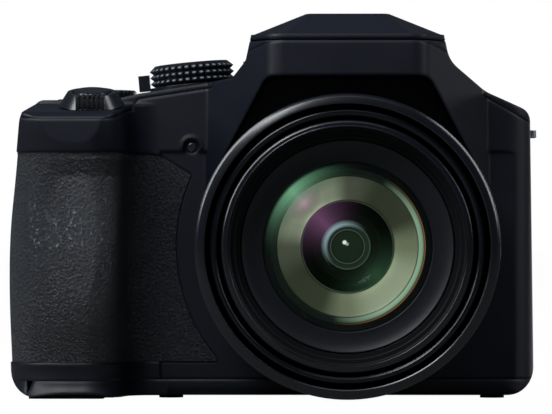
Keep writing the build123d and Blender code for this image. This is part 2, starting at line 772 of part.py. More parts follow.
lock_rib = 0.6
with BuildPart() as door_lock:
    add(block((lock_slide_x - lock_width / 2, lock_slide_y - lock_length / 2, -door_drop),
              (lock_slide_x + lock_width / 2, lock_slide_y + lock_length / 2,
               lock_thick - seat_gap / 2)))
    for rib_share in (-0.25, 0, 0.25):
        rib_y = lock_slide_y + rib_share * lock_length
        add(block((lock_slide_x - lock_width, rib_y - lock_rib / 2, -door_drop - overrun),
                  (lock_slide_x + lock_width, rib_y + lock_rib / 2, -door_drop + lock_rib / 2)),
            mode=Mode.SUBTRACT)
door_lock.part.label = "door_lock"
export_step(door_lock.part, "parts/door_lock.step")

with BuildPart() as tripod_socket:
    add(disc(Plane.XY, socket_radius, 0, socket_height))
    add(disc(Plane.XY, socket_flange_radius, cover_wall, cover_wall + socket_flange))
    add(disc(Plane.XY, socket_bore, -overrun, socket_bore_length), mode=Mode.SUBTRACT)
tripod_socket.part.label = "tripod_socket"
export_step(tripod_socket.part, "parts/tripod_socket.step")

foot_pad_radius = 3.0
foot_pad_height = 0.8
foot_places = [(36.0, 10.0), (36.0, -13.0), (-44.0, 10.0), (-44.0, -13.0)]
with BuildPart() as base_feet:
    for foot_x, foot_y in foot_places:
        add(disc(Plane((foot_x, foot_y, 0)), foot_pad_radius, -foot_pad_height, 0))
base_feet.part.label = "base_feet"
export_step(base_feet.part, "parts/base_feet.step")

with BuildPart() as cover_screws:
    for place_x, place_y in screw_places:
        screw_plane = Plane((place_x, place_y, 0))
        add(disc(screw_plane, screw_head_radius, seat_gap, screw_head_height + seat_gap))
        add(disc(screw_plane, screw_radius, screw_head_height, screw_length))
cover_screws.part.label = "cover_screws"
export_step(cover_screws.part, "parts/cover_screws.step")

with BuildPart() as strap_lugs:
    for lug_plane in (right_lug_plane, left_lug_plane):
        add(lug_plate(lug_plane, lug_root, lug_tip))
        slot_plane = lug_plane.offset(-lug_thick)
        with BuildSketch(slot_plane):
            with Locations((lug_tip - lug_bar - lug_slot_width / 2, 0)):
                Rectangle(lug_slot_width, lug_slot_length)
        extrude(amount=lug_thick * 2, mode=Mode.SUBTRACT)
strap_lugs.part.label = "strap_lugs"
export_step(strap_lugs.part, "parts/strap_lugs.step")

with BuildPart() as af_lamp:
    add(disc(lamp_plane, lamp_window_radius - pin_gap, -cover_wall, -lamp_depth / 2))
    fillet(af_lamp.edges().sort_by(Axis.Y)[0], radius=lamp_depth)
    add(disc(lamp_plane, lamp_mouth_radius, -cover_wall - lamp_depth, -cover_wall))
af_lamp.part.label = "af_lamp"
export_step(af_lamp.part, "parts/af_lamp.step")

# Lens barrels, telescoped with the camera switched off
bezel_rear_y = bezel_front_y + bezel_length
with BuildPart() as lens_outer_barrel:
    add(turned([
        (bezel_rear_y, barrel_bore), (bezel_rear_y, barrel_radius),
        (mount_face_y - barrel_foot_length, barrel_radius),
        (mount_face_y - barrel_foot_length + bezel_chamfer, barrel_foot_radius),
        (mount_face_y, barrel_foot_radius), (mount_face_y, rear_tube_radius),
        (0, rear_tube_radius), (0, 0), (-rear_plate, 0), (-rear_plate, rear_tube_bore),
        (mount_face_y - cover_wall, rear_tube_bore), (mount_face_y - cover_wall, barrel_bore)]))
    sensor_room_radius = 9.0
    add(turned([(-rear_plate * 2, 0), (-rear_plate * 2, sensor_room_radius),
                (rear_plate, sensor_room_radius), (rear_plate, 0)]), mode=Mode.SUBTRACT)
lens_outer_barrel.part.label = "lens_outer_barrel"
export_step(lens_outer_barrel.part, "parts/lens_outer_barrel.step")

with BuildPart() as lens_bezel:
    add(turned([
        (bezel_front_y, barrel_bore), (bezel_front_y, bezel_radius - bezel_chamfer),
        (bezel_front_y + bezel_chamfer, bezel_radius), (bezel_rear_y - bezel_chamfer, bezel_radius),
        (bezel_rear_y, bezel_radius - bezel_chamfer), (bezel_rear_y, barrel_bore)]))
lens_bezel.part.label = "lens_bezel"
export_step(lens_bezel.part, "parts/lens_bezel.step")

mid_collar_y = mid_rear_y - collar_length
with BuildPart() as barrel_mid:
    add(turned([
        (mid_front_y, mid_bore), (mid_front_y, mid_radius - bezel_chamfer / 2),
        (mid_front_y + bezel_chamfer / 2, mid_radius), (mid_collar_y, mid_radius),
        (mid_collar_y, barrel_bore - running_gap), (mid_rear_y, barrel_bore - running_gap),
        (mid_rear_y, mid_bore)]))
barrel_mid.part.label = "barrel_mid"
export_step(barrel_mid.part, "parts/barrel_mid.step")

seat_lip = 0.6
name_ring_y = -78.2
name_ring_rear_y = -75.6
flange_rear_y = -73.2
glass_seat_step = 1.6
glass_seat_radius = glass_radius - glass_seat_step
front_collar_y = front_ring_rear_y - collar_length
with BuildPart() as barrel_front:
    add(turned([
        (front_ring_y, filter_radius + seat_lip / 2), (front_ring_y, front_radius - bezel_chamfer),
        (front_ring_y + bezel_chamfer, front_radius), (front_collar_y, front_radius),
        (front_collar_y, mid_bore - running_gap), (front_ring_rear_y, mid_bore - running_gap),
        (front_ring_rear_y, front_bore), (flange_rear_y, front_bore),
        (flange_rear_y, glass_seat_radius), (name_ring_rear_y, glass_seat_radius),
        (name_ring_rear_y, name_ring_radius), (name_ring_y - seat_lip, name_ring_radius),
        (front_ring_y + seat_lip + filter_depth, filter_radius),
        (front_ring_y + seat_lip, filter_radius)]))
barrel_front.part.label = "barrel_front"
export_step(barrel_front.part, "parts/barrel_front.step")

name_ring_dish = 1.0
with BuildPart() as name_ring:
    add(turned([
        (name_ring_y, name_ring_radius), (name_ring_y + name_ring_dish, glass_radius + pin_gap),
        (name_ring_rear_y, glass_radius + pin_gap), (name_ring_rear_y, name_ring_radius)]))
name_ring.part.label = "name_ring"
export_step(name_ring.part, "parts/name_ring.step")


def dome(axis_y, edge_y, radius):
    """Half a dome's outline, from the lens axis out to its edge."""
    bulge = abs(edge_y - axis_y)
    curve = (radius ** 2 + bulge ** 2) / (2 * bulge)
    half_turn = asin(radius / curve) / 2
    way = 1 if edge_y > axis_y else -1
    middle = (axis_y + way * curve * (1 - cos(half_turn)),
              lens_axis_height + curve * sin(half_turn))
    return ThreePointArc((axis_y, lens_axis_height), middle, (edge_y, lens_axis_height + radius))


def lens_element(edge_front_y, edge_rear_y, radius, front_bulge, rear_bulge, rear_radius):
    """A glass element: domed faces at its front and rear about a round edge."""
    with BuildPart() as element:
        with BuildSketch(Plane.YZ):
            with BuildLine():
                dome(edge_front_y - front_bulge, edge_front_y, radius)
                Line((edge_front_y, lens_axis_height + radius),
                     (edge_rear_y, lens_axis_height + radius))
                Line((edge_rear_y, lens_axis_height + radius),
                     (edge_rear_y, lens_axis_height + rear_radius))
                dome(edge_rear_y + rear_bulge, edge_rear_y, rear_radius)
                Line((edge_rear_y + rear_bulge, lens_axis_height),
                     (edge_front_y - front_bulge, lens_axis_height))
            make_face()
        revolve(axis=lens_axis)
    return element.part


glass_edge_y = -77.2
glass_bulge = 2.5
glass_rear_bulge = 1.8
glass_seat_lap = 0.4
with BuildPart() as front_lens:
    add(lens_element(glass_edge_y, name_ring_rear_y, glass_radius, glass_bulge, glass_rear_bulge,
                     glass_seat_radius - glass_seat_lap))
front_lens.part.label = "front_lens"
export_step(front_lens.part, "parts/front_lens.step")

baffle_front_y = -71.4
baffle_rear_y = -65.0
baffle_lap = 1.2
baffle_mouth = glass_seat_radius - baffle_lap
baffle_depth = 6.0
baffle_bore = baffle_mouth - baffle_depth
with BuildPart() as lens_baffle:
    add(turned([
        (flange_rear_y, front_bore - seat_gap), (flange_rear_y, baffle_mouth),
        (baffle_front_y, baffle_mouth), (baffle_rear_y - seat_lip, baffle_bore + seat_lip),
        (baffle_rear_y - seat_lip, baffle_bore), (baffle_rear_y, baffle_bore),
        (baffle_rear_y, baffle_mouth), (baffle_front_y, front_bore - seat_gap)]))
lens_baffle.part.label = "lens_baffle"
export_step(lens_baffle.part, "parts/lens_baffle.step")

# Cam ring with three slanted cam slots, and the two groups that slide inside it
cam_front_y = -52.0
cam_rear_y = -rear_plate - running_gap
cam_slot_width = 2.2
cam_slot_length = 26.0
cam_slot_slant = 38
cam_slot_count = 3
with BuildPart() as cam_ring:
    add(turned([(cam_front_y, cam_bore), (cam_front_y, cam_radius), (cam_rear_y, cam_radius),
                (cam_rear_y, cam_bore)]))
    cam_middle = Plane((0, (cam_front_y + cam_rear_y) / 2, lens_axis_height), x_dir=(1, 0, 0),
                       z_dir=(0, -1, 0))
    with Locations(cam_middle):
        with PolarLocations(cam_radius, cam_slot_count):
            Box(cam_radius - cam_bore + cover_wall, cam_slot_width, cam_slot_length,
                rotation=(cam_slot_slant, 0, 0), mode=Mode.SUBTRACT)
cam_ring.part.label = "cam_ring"
export_step(cam_ring.part, "parts/cam_ring.step")

variator_front_y = -46.0
variator_rear_y = -36.0
variator_bore = 11.0
focus_front_y = -24.0
focus_rear_y = -16.0
focus_bore = 9.0
group_radius = cam_bore - running_gap
element_thick = 3.0
for cell_name, front_place, rear_place, bore in (
        ("variator", variator_front_y, variator_rear_y, variator_bore),
        ("focus", focus_front_y, focus_rear_y, focus_bore)):
    middle_y = (front_place + rear_place) / 2
    with BuildPart() as cell:
        add(turned([
            (front_place, bore + cover_wall * 3), (front_place, group_radius),
            (rear_place, group_radius), (rear_place, group_radius - cover_wall),
            (middle_y + element_thick / 2 + cover_wall, bore + cover_wall),
            (middle_y + element_thick / 2 + cover_wall, bore - seat_lip),
            (middle_y + element_thick / 2, bore - seat_lip),
            (middle_y + element_thick / 2, bore), (middle_y - element_thick / 2, bore)]))
    cell.part.label = f"{cell_name}_cell"
    export_step(cell.part, f"parts/{cell_name}_cell.step")
    with BuildPart() as glass:
        add(lens_element(middle_y - element_thick / 2, middle_y + element_thick / 2,
                         bore - pin_gap, element_thick / 2, element_thick / 3, bore - cover_wall))
    glass.part.label = f"{cell_name}_lens"
    export_step(glass.part, f"parts/{cell_name}_lens.step")

# Sensor, boards, motor and capacitor
board_thick = 1.4
sensor_half_width = 6.0
sensor_half_height = 5.0
sensor_thick = 1.8
sensor_board_half = 17.0
with BuildPart() as sensor_board:
    add(block((-sensor_board_half, 0, lens_axis_height - sensor_board_half),
              (sensor_board_half, board_thick, lens_axis_height + sensor_board_half)))
    fillet(sensor_board.edges().filter_by(Axis.Y), radius=cover_wall)
sensor_board.part.label = "sensor_board"
export_step(sensor_board.part, "parts/sensor_board.step")

with BuildPart() as image_sensor:
    add(block((-sensor_half_width, -sensor_thick, lens_axis_height - sensor_half_height),
              (sensor_half_width, 0, lens_axis_height + sensor_half_height)))
    chamfer(image_sensor.edges().group_by(Axis.Y)[0], length=seat_gap)
image_sensor.part.label = "image_sensor"
export_step(image_sensor.part, "parts/image_sensor.step")

with BuildPart() as main_board:
    add(block((board_low_x, board_front_y, board_low_z),
              (board_high_x, board_front_y + board_thick, board_high_z)))
    fillet(main_board.edges().filter_by(Axis.Y), radius=cover_wall)
main_board.part.label = "main_board"
export_step(main_board.part, "parts/main_board.step")

motor_radius = 5.5
motor_front_y = -18.0
motor_rear_y = -3.0
motor_place = (rear_tube_radius + seat_gap + motor_radius) * sin(radians(45))
motor_plane = Plane((-motor_place, motor_rear_y, lens_axis_height - motor_place),
                    x_dir=(1, 0, 0), z_dir=(0, -1, 0))
with BuildPart() as zoom_motor:
    add(disc(motor_plane, motor_radius, 0, motor_rear_y - motor_front_y))
    fillet(zoom_motor.edges(), radius=seat_lip)
    add(disc(motor_plane, cover_wall, -cover_wall, 0))
zoom_motor.part.label = "zoom_motor"
export_step(zoom_motor.part, "parts/zoom_motor.step")

capacitor_radius = 5.5
capacitor_length = 34.0
capacitor_x = -45.0
capacitor_y = -12.5
with BuildPart() as flash_capacitor:
    capacitor_plane = Plane((capacitor_x, capacitor_y, cover_wall + seat_gap))
    add(disc(capacitor_plane, capacitor_radius, 0, capacitor_length))
    fillet(flash_capacitor.edges(), radius=seat_lip)
flash_capacitor.part.label = "flash_capacitor"
export_step(flash_capacitor.part, "parts/flash_capacitor.step")

# Battery, its case and the memory card
battery_low_x = -77.4
battery_thick = 14.5
battery_low_y = -31.8
battery_width = 35.5
battery_low_z = 4.3
battery_height = 46.0
card_low_x = -61.6
card_thick = 2.1
card_low_y = -26.0
card_width = 24.0
card_height = 32.0
case_wall = 1.0
with BuildPart() as battery:
    add(block((battery_low_x, battery_low_y, battery_low_z),
              (battery_low_x + battery_thick, battery_low_y + battery_width,
               battery_low_z + battery_height)))
    fillet(battery.edges().filter_by(Axis.Z), radius=cover_wall)
battery.part.label = "battery"
export_step(battery.part, "parts/battery.step")

with BuildPart() as memory_card:
    add(block((card_low_x, card_low_y, battery_low_z),
              (card_low_x + card_thick, card_low_y + card_width, battery_low_z + card_height)))
    corner_edge = memory_card.edges().filter_by(Axis.X).sort_by(Axis.Z)[-1]
    chamfer(corner_edge, length=card_thick)
memory_card.part.label = "memory_card"
export_step(memory_card.part, "parts/memory_card.step")

with BuildPart() as battery_case:
    case_low = (battery_low_x - seat_gap - case_wall, battery_low_y - seat_gap - case_wall,
                base_top_z)
    case_high = (card_low_x + card_thick + seat_gap + case_wall,
                 battery_low_y + battery_width + seat_gap + case_wall,
                 battery_low_z + battery_height + seat_gap + case_wall)
    add(block(case_low, case_high))
    add(block((battery_low_x - seat_gap, battery_low_y - seat_gap, 0),
              (battery_low_x + battery_thick + seat_gap, battery_low_y + battery_width + seat_gap,
               battery_low_z + battery_height + seat_gap)), mode=Mode.SUBTRACT)
    add(block((card_low_x - seat_gap, card_low_y - seat_gap, 0),
              (card_low_x + card_thick + seat_gap, card_low_y + card_width + seat_gap,
               battery_low_z + card_height + seat_gap)), mode=Mode.SUBTRACT)
battery_case.part.label = "battery_case"
export_step(battery_case.part, "parts/battery_case.step")

# Shutter button and zoom lever on the grip's deck
with BuildPart() as shutter_button:
    add(disc(shutter_plane, shutter_collar_radius, shutter_cap_low, shutter_height))
    crown = shutter_button.edges().sort_by(Axis(shutter_plane.origin, shutter_plane.z_dir))[-1]
    fillet(crown, radius=button_proud)
    add(disc(shutter_plane, shutter_stem_radius, -boss_depth - seat_gap, shutter_cap_low))
    add(disc(shutter_plane, shutter_clip_radius, -boss_depth - seat_gap - button_flange,
             -boss_depth - seat_gap))
shutter_button.part.label = "shutter_button"
export_step(shutter_button.part, "parts/shutter_button.step")

with BuildPart() as zoom_lever:
    with BuildSketch(shutter_plane):
        Circle(lever_low_radius)
    with BuildSketch(shutter_plane.offset(lever_height)):
        Circle(lever_high_radius)
    loft()
    tab_span = lever_tab_reach - shutter_collar_radius - running_gap
    with BuildSketch(shutter_plane):
        with Locations((0, -lever_tab_reach + tab_span / 2)):
            Rectangle(lever_tab_width, tab_span)
    extrude(amount=lever_height + lever_rib)
    add(disc(shutter_plane, shutter_collar_radius + running_gap, -overrun, overrun),
        mode=Mode.SUBTRACT)
    rib_pitch = lever_tab_width / (lever_rib_count + 1)
    for rib_index in range(lever_rib_count):
        groove_x = (rib_index + 1) * rib_pitch - lever_tab_width / 2
        with BuildSketch(shutter_plane.offset(lever_height - lever_rib)):
            with Locations((groove_x, -lever_tab_reach)):
                Rectangle(rib_pitch / 2, tab_span * 2)
        extrude(amount=overrun, mode=Mode.SUBTRACT)
        with BuildSketch(shutter_plane.offset(lever_rib)):
            with Locations((groove_x, -lever_tab_reach)):
                Rectangle(rib_pitch / 2, lever_rib * 2)
        extrude(amount=overrun, mode=Mode.SUBTRACT)
zoom_lever.part.label = "zoom_lever"
export_step(zoom_lever.part, "parts/zoom_lever.step")

# Mode dial: three rows of pyramid studs, cut from three turned ridges by upright notches
dial_root = dial_radius - dial_ridge
dial_top = dial_low + dial_ridge_pitch * dial_ridge_count + dial_crown
with BuildPart() as mode_dial:
    with BuildSketch(Plane(dial_plane.origin, x_dir=dial_plane.x_dir, z_dir=(0, -1, 0))):
        with BuildLine():
            ridge_line = [(0, dial_low), (dial_root, dial_low)]
            for ridge in range(dial_ridge_count):
                ridge_low = dial_low + ridge * dial_ridge_pitch
                ridge_line.append((dial_radius, ridge_low + dial_ridge_pitch / 2))
                ridge_line.append((dial_root, ridge_low + dial_ridge_pitch))
            ridge_line += [(dial_root - dial_crown, dial_top), (0, dial_top)]
            Polyline(*ridge_line, close=True)
        make_face()
    revolve(axis=Axis(dial_plane.origin, dial_plane.z_dir))
    with BuildSketch(dial_plane.offset(dial_low)):
        with PolarLocations(dial_radius, dial_stud_count):
            RegularPolygon(dial_ridge, 3, rotation=180)
    extrude(amount=dial_ridge_pitch * dial_ridge_count, mode=Mode.SUBTRACT)
    add(disc(dial_plane, dial_shaft_radius, -dial_boss_depth - seat_gap, dial_low))
    add(disc(dial_plane, dial_shaft_radius + button_flange,
             -dial_boss_depth - seat_gap - button_flange, -dial_boss_depth - seat_gap))
mode_dial.part.label = "mode_dial"
export_step(mode_dial.part, "parts/mode_dial.step")

with BuildPart() as power_lever:
    add(disc(dial_plane, power_ring_radius, power_low, power_high))
    with BuildSketch(dial_plane.offset(power_low + running_gap)):
        with Locations((-(power_tab_radius + power_collar_radius) / 2, 0)):
            Rectangle(power_tab_radius - power_collar_radius, power_tab_width)
    extrude(amount=power_tab_height - power_low)
    add(disc(dial_plane, power_collar_radius + running_gap, -overrun, overrun), mode=Mode.SUBTRACT)
    add(disc(dial_plane, dial_radius + running_gap, power_high, overrun), mode=Mode.SUBTRACT)
power_lever.part.label = "power_lever"
export_step(power_lever.part, "parts/power_lever.step")

for piece_name, piece_plane, piece_radius in (
        ("record_button", record_plane, record_radius), ("drive_button", drive_plane, drive_radius)):
    with BuildPart() as deck_button:
        add(push_button(piece_plane, piece_radius, deck_wall))
    deck_button.part.label = piece_name
    export_step(deck_button.part, f"parts/{piece_name}.step")

with BuildPart() as rear_dial:
    add(disc(rear_dial_plane, rear_dial_radius, running_gap, running_gap + rear_dial_height))
    chamfer(rear_dial.edges(), length=dial_crown)
    with BuildSketch(rear_dial_plane):
        with PolarLocations(rear_dial_radius, rear_dial_stud_count):
            RegularPolygon(dial_crown, 3, rotation=180)
    extrude(amount=rear_dial_height * 2, mode=Mode.SUBTRACT)
    add(disc(rear_dial_plane, rear_dial_shaft_radius, -deck_wall - seat_gap, running_gap))
    add(disc(rear_dial_plane, rear_dial_shaft_radius + button_flange,
             -deck_wall - seat_gap - button_flange, -deck_wall - seat_gap))
rear_dial.part.label = "rear_dial"
export_step(rear_dial.part, "parts/rear_dial.step")

# Flash: the lid is the hump's roof, and its head drops into a well behind the nose.
flash_open = radians(55)
head_front_y = -43.6
head_low_y = -36.0
head_depth = 4.6
head_low_z = lid_gap_z - head_depth
head_rear_y = -14.0
head_heel_y = -10.0
head_half_width = 15.4
window_middle = (0, (head_front_y + head_low_y) / 2, (lid_bottom_z + head_low_z) / 2)
flash_plane = Plane(window_middle, x_dir=(1, 0, 0), z_dir=(0, -cos(flash_open), -sin(flash_open)))
flash_window_width = 27.0
flash_window_height = 6.0
flash_window_thick = 1.2
flash_tube_radius = 1.1
flash_tube_depth = 2.4
reflector_depth = 3.6
with BuildPart() as flash_housing:
    add(block((-reach, -reach, lid_bottom_z), (reach, lid_ear_y, reach)))
    add(block((-hinge_half_length, -reach, lid_bottom_z), (hinge_half_length, lid_rear_y, reach)))
    add(disc(hinge_plane, hinge_radius, -hinge_half_length, hinge_half_length))
    add(body_form, mode=Mode.INTERSECT)
    add(disc(hinge_plane, hinge_radius, -hinge_half_length, hinge_half_length)
        & block((-reach, -reach, 0), (reach, reach, pivot_z)))
    head_side = [(head_front_y, lid_bottom_z), (head_low_y, head_low_z), (head_rear_y, head_low_z),
                 (head_heel_y, lid_bottom_z)]
    add(side_prism(head_side, [0, 0, 0, 0], -head_half_width, head_half_width))
    add(rounded_block(flash_plane, flash_window_width, flash_window_height, seat_lip,
                      -reflector_depth, overrun), mode=Mode.SUBTRACT)
    add(disc(hinge_plane, flash_pin_radius + pin_gap, -reach, reach), mode=Mode.SUBTRACT)
flash_housing.part.label = "flash_housing"
export_step(flash_housing.part, "parts/flash_housing.step")

with BuildPart() as flash_window:
    add(rounded_block(flash_plane, flash_window_width, flash_window_height, seat_lip,
                      -flash_window_thick, 0))
flash_window.part.label = "flash_window"
export_step(flash_window.part, "parts/flash_window.step")

tube_plane = Plane(flash_plane.origin, x_dir=flash_plane.z_dir, z_dir=(1, 0, 0))
with BuildPart() as flash_tube:
    tube_sketch_plane = tube_plane.offset(-flash_window_width / 2 + seat_gap)
    with BuildSketch(tube_sketch_plane):
        with Locations((-flash_tube_depth, 0)):
            Circle(flash_tube_radius)
    extrude(amount=flash_window_width - seat_gap * 2)
flash_tube.part.label = "flash_tube"
export_step(flash_tube.part, "parts/flash_tube.step")

with BuildPart() as flash_pin:
    add(disc(hinge_plane, flash_pin_radius, -flash_pin_half_length, flash_pin_half_length))
flash_pin.part.label = "flash_pin"
export_step(flash_pin.part, "parts/flash_pin.step")

with BuildPart() as flash_button:
    add(rounded_block(flash_button_plane, flash_button_length, flash_button_height,
                      flash_button_height / 2 - pin_gap, -cover_wall + button_travel * 2,
                      flash_button_proud))
flash_button.part.label = "flash_button"
export_step(flash_button.part, "parts/flash_button.step")

# Screen, eyepiece and thumb rest
with BuildPart() as lcd_window:
    add(rounded_block(window_plane, window_width, window_height, window_frame / 2,
                      -window_recess, window_thick - window_recess))
    chamfer(lcd_window.edges().group_by(Axis.Y)[-1], length=seat_gap)
lcd_window.part.label = "lcd_window"
export_step(lcd_window.part, "parts/lcd_window.step")

module_depth = 4.2
with BuildPart() as lcd_module:
    add(rounded_block(window_plane, window_width - window_frame * 2, window_height - window_frame,
                      window_frame / 4, -cover_wall - module_depth, -cover_wall))
lcd_module.part.label = "lcd_module"
export_step(lcd_module.part, "parts/lcd_module.step")

eyecup_flare = 4.0
with BuildPart() as eyecup:
    with BuildSketch(eyepiece_plane):
        RectangleRounded(eyecup_width, eyecup_height, eyecup_radius)
    with BuildSketch(eyepiece_plane.offset(eyecup_depth)):
        RectangleRounded(eyecup_width - eyecup_flare, eyecup_height - eyecup_flare / 2,
                         eyecup_radius)
    loft()
    fillet(eyecup.edges().group_by(Axis.Y)[-1], radius=tunnel_wall)
    with BuildSketch(eyepiece_plane):
        RectangleRounded(eyepiece_width, eyepiece_height, tunnel_wall)
    with BuildSketch(eyepiece_plane.offset(eyecup_depth)):
        RectangleRounded(eyepiece_width + eyecup_flare * 2, eyepiece_height + eyecup_flare,
                         tunnel_wall)
    loft(mode=Mode.SUBTRACT)
eyecup.part.label = "eyecup"
export_step(eyecup.part, "parts/eyecup.step")

eyepiece_depth = 4.0
with BuildPart() as eyepiece_lens:
    add(rounded_block(eyepiece_plane, eyepiece_width - pin_gap, eyepiece_height - pin_gap,
                      tunnel_wall, -eyepiece_depth - cover_wall, -cover_wall))
    chamfer(eyepiece_lens.edges().group_by(Axis.Y)[-1], length=button_travel)
eyepiece_lens.part.label = "eyepiece_lens"
export_step(eyepiece_lens.part, "parts/eyepiece_lens.step")

finder_depth = 10.0
with BuildPart() as evf_display:
    add(rounded_block(eyepiece_plane, eyepiece_width - pin_gap, eyepiece_height - pin_gap,
                      tunnel_wall, parting_y - rear_y - finder_depth + tunnel_wall,
                      parting_y - rear_y + tunnel_wall))
evf_display.part.label = "evf_display"
export_step(evf_display.part, "parts/evf_display.step")

with BuildPart() as diopter_dial:
    add(disc(diopter_plane, diopter_shaft_radius, -tunnel_wall, diopter_width + tunnel_wall))
    wheel_plane = Plane((diopter_x, diopter_y - cover_wall, diopter_z), x_dir=(0, 1, 0),
                        z_dir=(1, 0, 0))
    add(disc(wheel_plane, diopter_radius, 0, diopter_width))
diopter_dial.part.label = "diopter_dial"
export_step(diopter_dial.part, "parts/diopter_dial.step")

thumb_low_x = -74.0
thumb_high_x = -57.0
thumb_low_z = 43.0
thumb_high_z = 67.0
thumb_thick = 1.2
thumb_plane = rear_plane((thumb_low_x + thumb_high_x) / 2, (thumb_low_z + thumb_high_z) / 2)
with BuildPart() as thumb_rest:
    thumb_width = thumb_high_x - thumb_low_x
    add(rounded_block(thumb_plane, thumb_width, thumb_high_z - thumb_low_z, thumb_width / 3,
                      0, thumb_thick * 2))
    fillet(thumb_rest.edges().group_by(Axis.Y)[-1], radius=thumb_thick)
thumb_rest.part.label = "thumb_rest"
export_step(thumb_rest.part, "parts/thumb_rest.step")

with BuildPart() as lock_button:
    add(push_button(lock_plane, lock_radius, cover_wall))
lock_button.part.label = "lock_button"
export_step(lock_button.part, "parts/lock_button.step")

for piece_name, piece_plane in (("playback_button", playback_plane),
                                ("display_button", display_plane),
                                ("delete_button", delete_plane)):
    with BuildPart() as rear_button:
        add(push_button(piece_plane, small_button_radius, cover_wall))
    rear_button.part.label = piece_name
    export_step(rear_button.part, f"parts/{piece_name}.step")

with BuildPart() as menu_button:
    add(push_button(pad_plane, menu_radius, pad_recess + pad_boss, button_proud * 2))
menu_button.part.label = "menu_button"
export_step(menu_button.part, "parts/menu_button.step")

pad_low = -pad_recess + running_gap * 2
pad_pivot_radius = 0.9
with BuildPart() as cursor_pad:
    add(disc(pad_plane, pad_radius, pad_low, button_proud))
    fillet(cursor_pad.edges().sort_by(Axis.Y)[-1], radius=button_travel)
    add(disc(pad_plane, menu_radius + running_gap, -overrun, overrun), mode=Mode.SUBTRACT)
cursor_pad.part.label = "cursor_pad"
export_step(cursor_pad.part, "parts/cursor_pad.step")

# Port door in the far end and the sockets behind it
with BuildPart() as port_door:
    add(block((far_end_x - cover_wall + seat_gap, port_low_y, port_low_z),
              (reach, port_high_y, port_high_z)))
    add(body_form, mode=Mode.INTERSECT)
port_door.part.label = "port_door"
export_step(port_door.part, "parts/port_door.step")

sockets_depth = 6.0
small_mouth_width = 7.0
small_mouth_height = 3.2
large_mouth_width = 8.4
large_mouth_height = 3.4
with BuildPart() as port_sockets:
    add(block((port_door_x - sockets_depth, port_low_y, port_low_z),
              (port_door_x - seat_gap, port_high_y, port_high_z)))
    sockets_plane = Plane((port_door_x, (port_low_y + port_high_y) / 2,
                           (port_low_z + port_high_z) / 2), x_dir=(0, 1, 0), z_dir=(1, 0, 0))
    socket_pitch = (port_high_z - port_low_z) / 2
    for pitch_share, mouth_width, mouth_height in (
            (-0.5, small_mouth_width, small_mouth_height),
            (0.5, large_mouth_width, large_mouth_height)):
        with BuildSketch(sockets_plane.offset(-sockets_depth + tunnel_wall)):
            with Locations((0, pitch_share * socket_pitch)):
                RectangleRounded(mouth_width, mouth_height, seat_gap)
        extrude(amount=overrun * 2, mode=Mode.SUBTRACT)
port_sockets.part.label = "port_sockets"
export_step(port_sockets.part, "parts/port_sockets.step")
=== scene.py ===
from math import cos, pi, radians, sin, tau

import bmesh
import bpy
from mathutils import Matrix, Vector


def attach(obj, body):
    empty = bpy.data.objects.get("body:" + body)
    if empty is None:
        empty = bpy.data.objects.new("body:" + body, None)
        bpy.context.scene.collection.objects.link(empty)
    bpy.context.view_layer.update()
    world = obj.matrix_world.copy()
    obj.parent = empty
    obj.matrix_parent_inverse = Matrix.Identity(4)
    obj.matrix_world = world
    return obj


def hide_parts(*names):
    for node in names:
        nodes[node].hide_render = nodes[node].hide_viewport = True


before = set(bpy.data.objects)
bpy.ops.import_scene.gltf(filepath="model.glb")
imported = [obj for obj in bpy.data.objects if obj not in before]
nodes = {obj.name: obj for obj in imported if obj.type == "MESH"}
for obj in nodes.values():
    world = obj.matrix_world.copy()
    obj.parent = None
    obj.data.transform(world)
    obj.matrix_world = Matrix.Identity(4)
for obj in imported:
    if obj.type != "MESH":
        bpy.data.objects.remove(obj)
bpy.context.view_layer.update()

MM = 0.001

# Viewpoint and light. The camera stands a little over a metre off at the height of the lens,
# as for a catalogue picture. Large soft lights stand to both sides, in front, above and behind.
LENS_HEIGHT = 36.8 * MM
CAMERA_DISTANCE = 1.1224
NEAR_CLIP = 0.05
AIM_POINT = Vector((-0.0177, -0.0224, 0.0466))
VIEW_WIDTH = 0.1366
SENSOR = 36.0
LIGHT_AIM = Vector((0, -0.03, 0.045))
LIGHT_TINT = (0.93, 0.97, 1.0)
SOFT_LIGHTS = (
    ("light_left", (-0.85, -0.34, 0.66), 0.26, 0.9, 8.2),
    ("light_right", (0.90, -0.24, 0.62), 0.16, 0.9, 4.4),
    ("light_front", (-0.15, -0.25, 0.30), 0.14, 0.14, 0.85),
    ("light_above", (-0.05, -0.62, 1.15), 0.8, 0.25, 1.3),
    ("light_behind", (0.7, 1.3, 0.12), 1.1, 0.5, 4.5))

view_lens = SENSOR * (CAMERA_DISTANCE + AIM_POINT.y) / VIEW_WIDTH
camera_data = bpy.data.cameras.new("catalogue_view")
camera_data.sensor_width = SENSOR
camera_data.lens = view_lens
camera_data.clip_start = NEAR_CLIP
camera = bpy.data.objects.new("catalogue_view", camera_data)
camera.location = (0, -CAMERA_DISTANCE, LENS_HEIGHT)
camera.rotation_euler = (AIM_POINT - camera.location).to_track_quat("-Z", "Y").to_euler()
bpy.context.collection.objects.link(camera)
bpy.context.scene.camera = camera
bpy.context.scene.view_settings.view_transform = "Standard"

for light_name, light_place, light_width, light_height, power in SOFT_LIGHTS:
    light_data = bpy.data.lights.new(light_name, "AREA")
    light_data.shape = "RECTANGLE"
    light_data.size = light_width
    light_data.size_y = light_height
    light_data.energy = power
    light_data.color = LIGHT_TINT
    light = bpy.data.objects.new(light_name, light_data)
    light.location = light_place
    aim = LIGHT_AIM - light.location
    light.rotation_euler = aim.to_track_quat("-Z", "Y").to_euler()
    bpy.context.collection.objects.link(light)

# Room: a dim blue fill on every surface, and plain white where the view itself, or a ray that
# has gone through glass, goes past the object.
ROOM_TINT, ROOM_STRENGTH = (0.74, 0.86, 1.0), 0.075


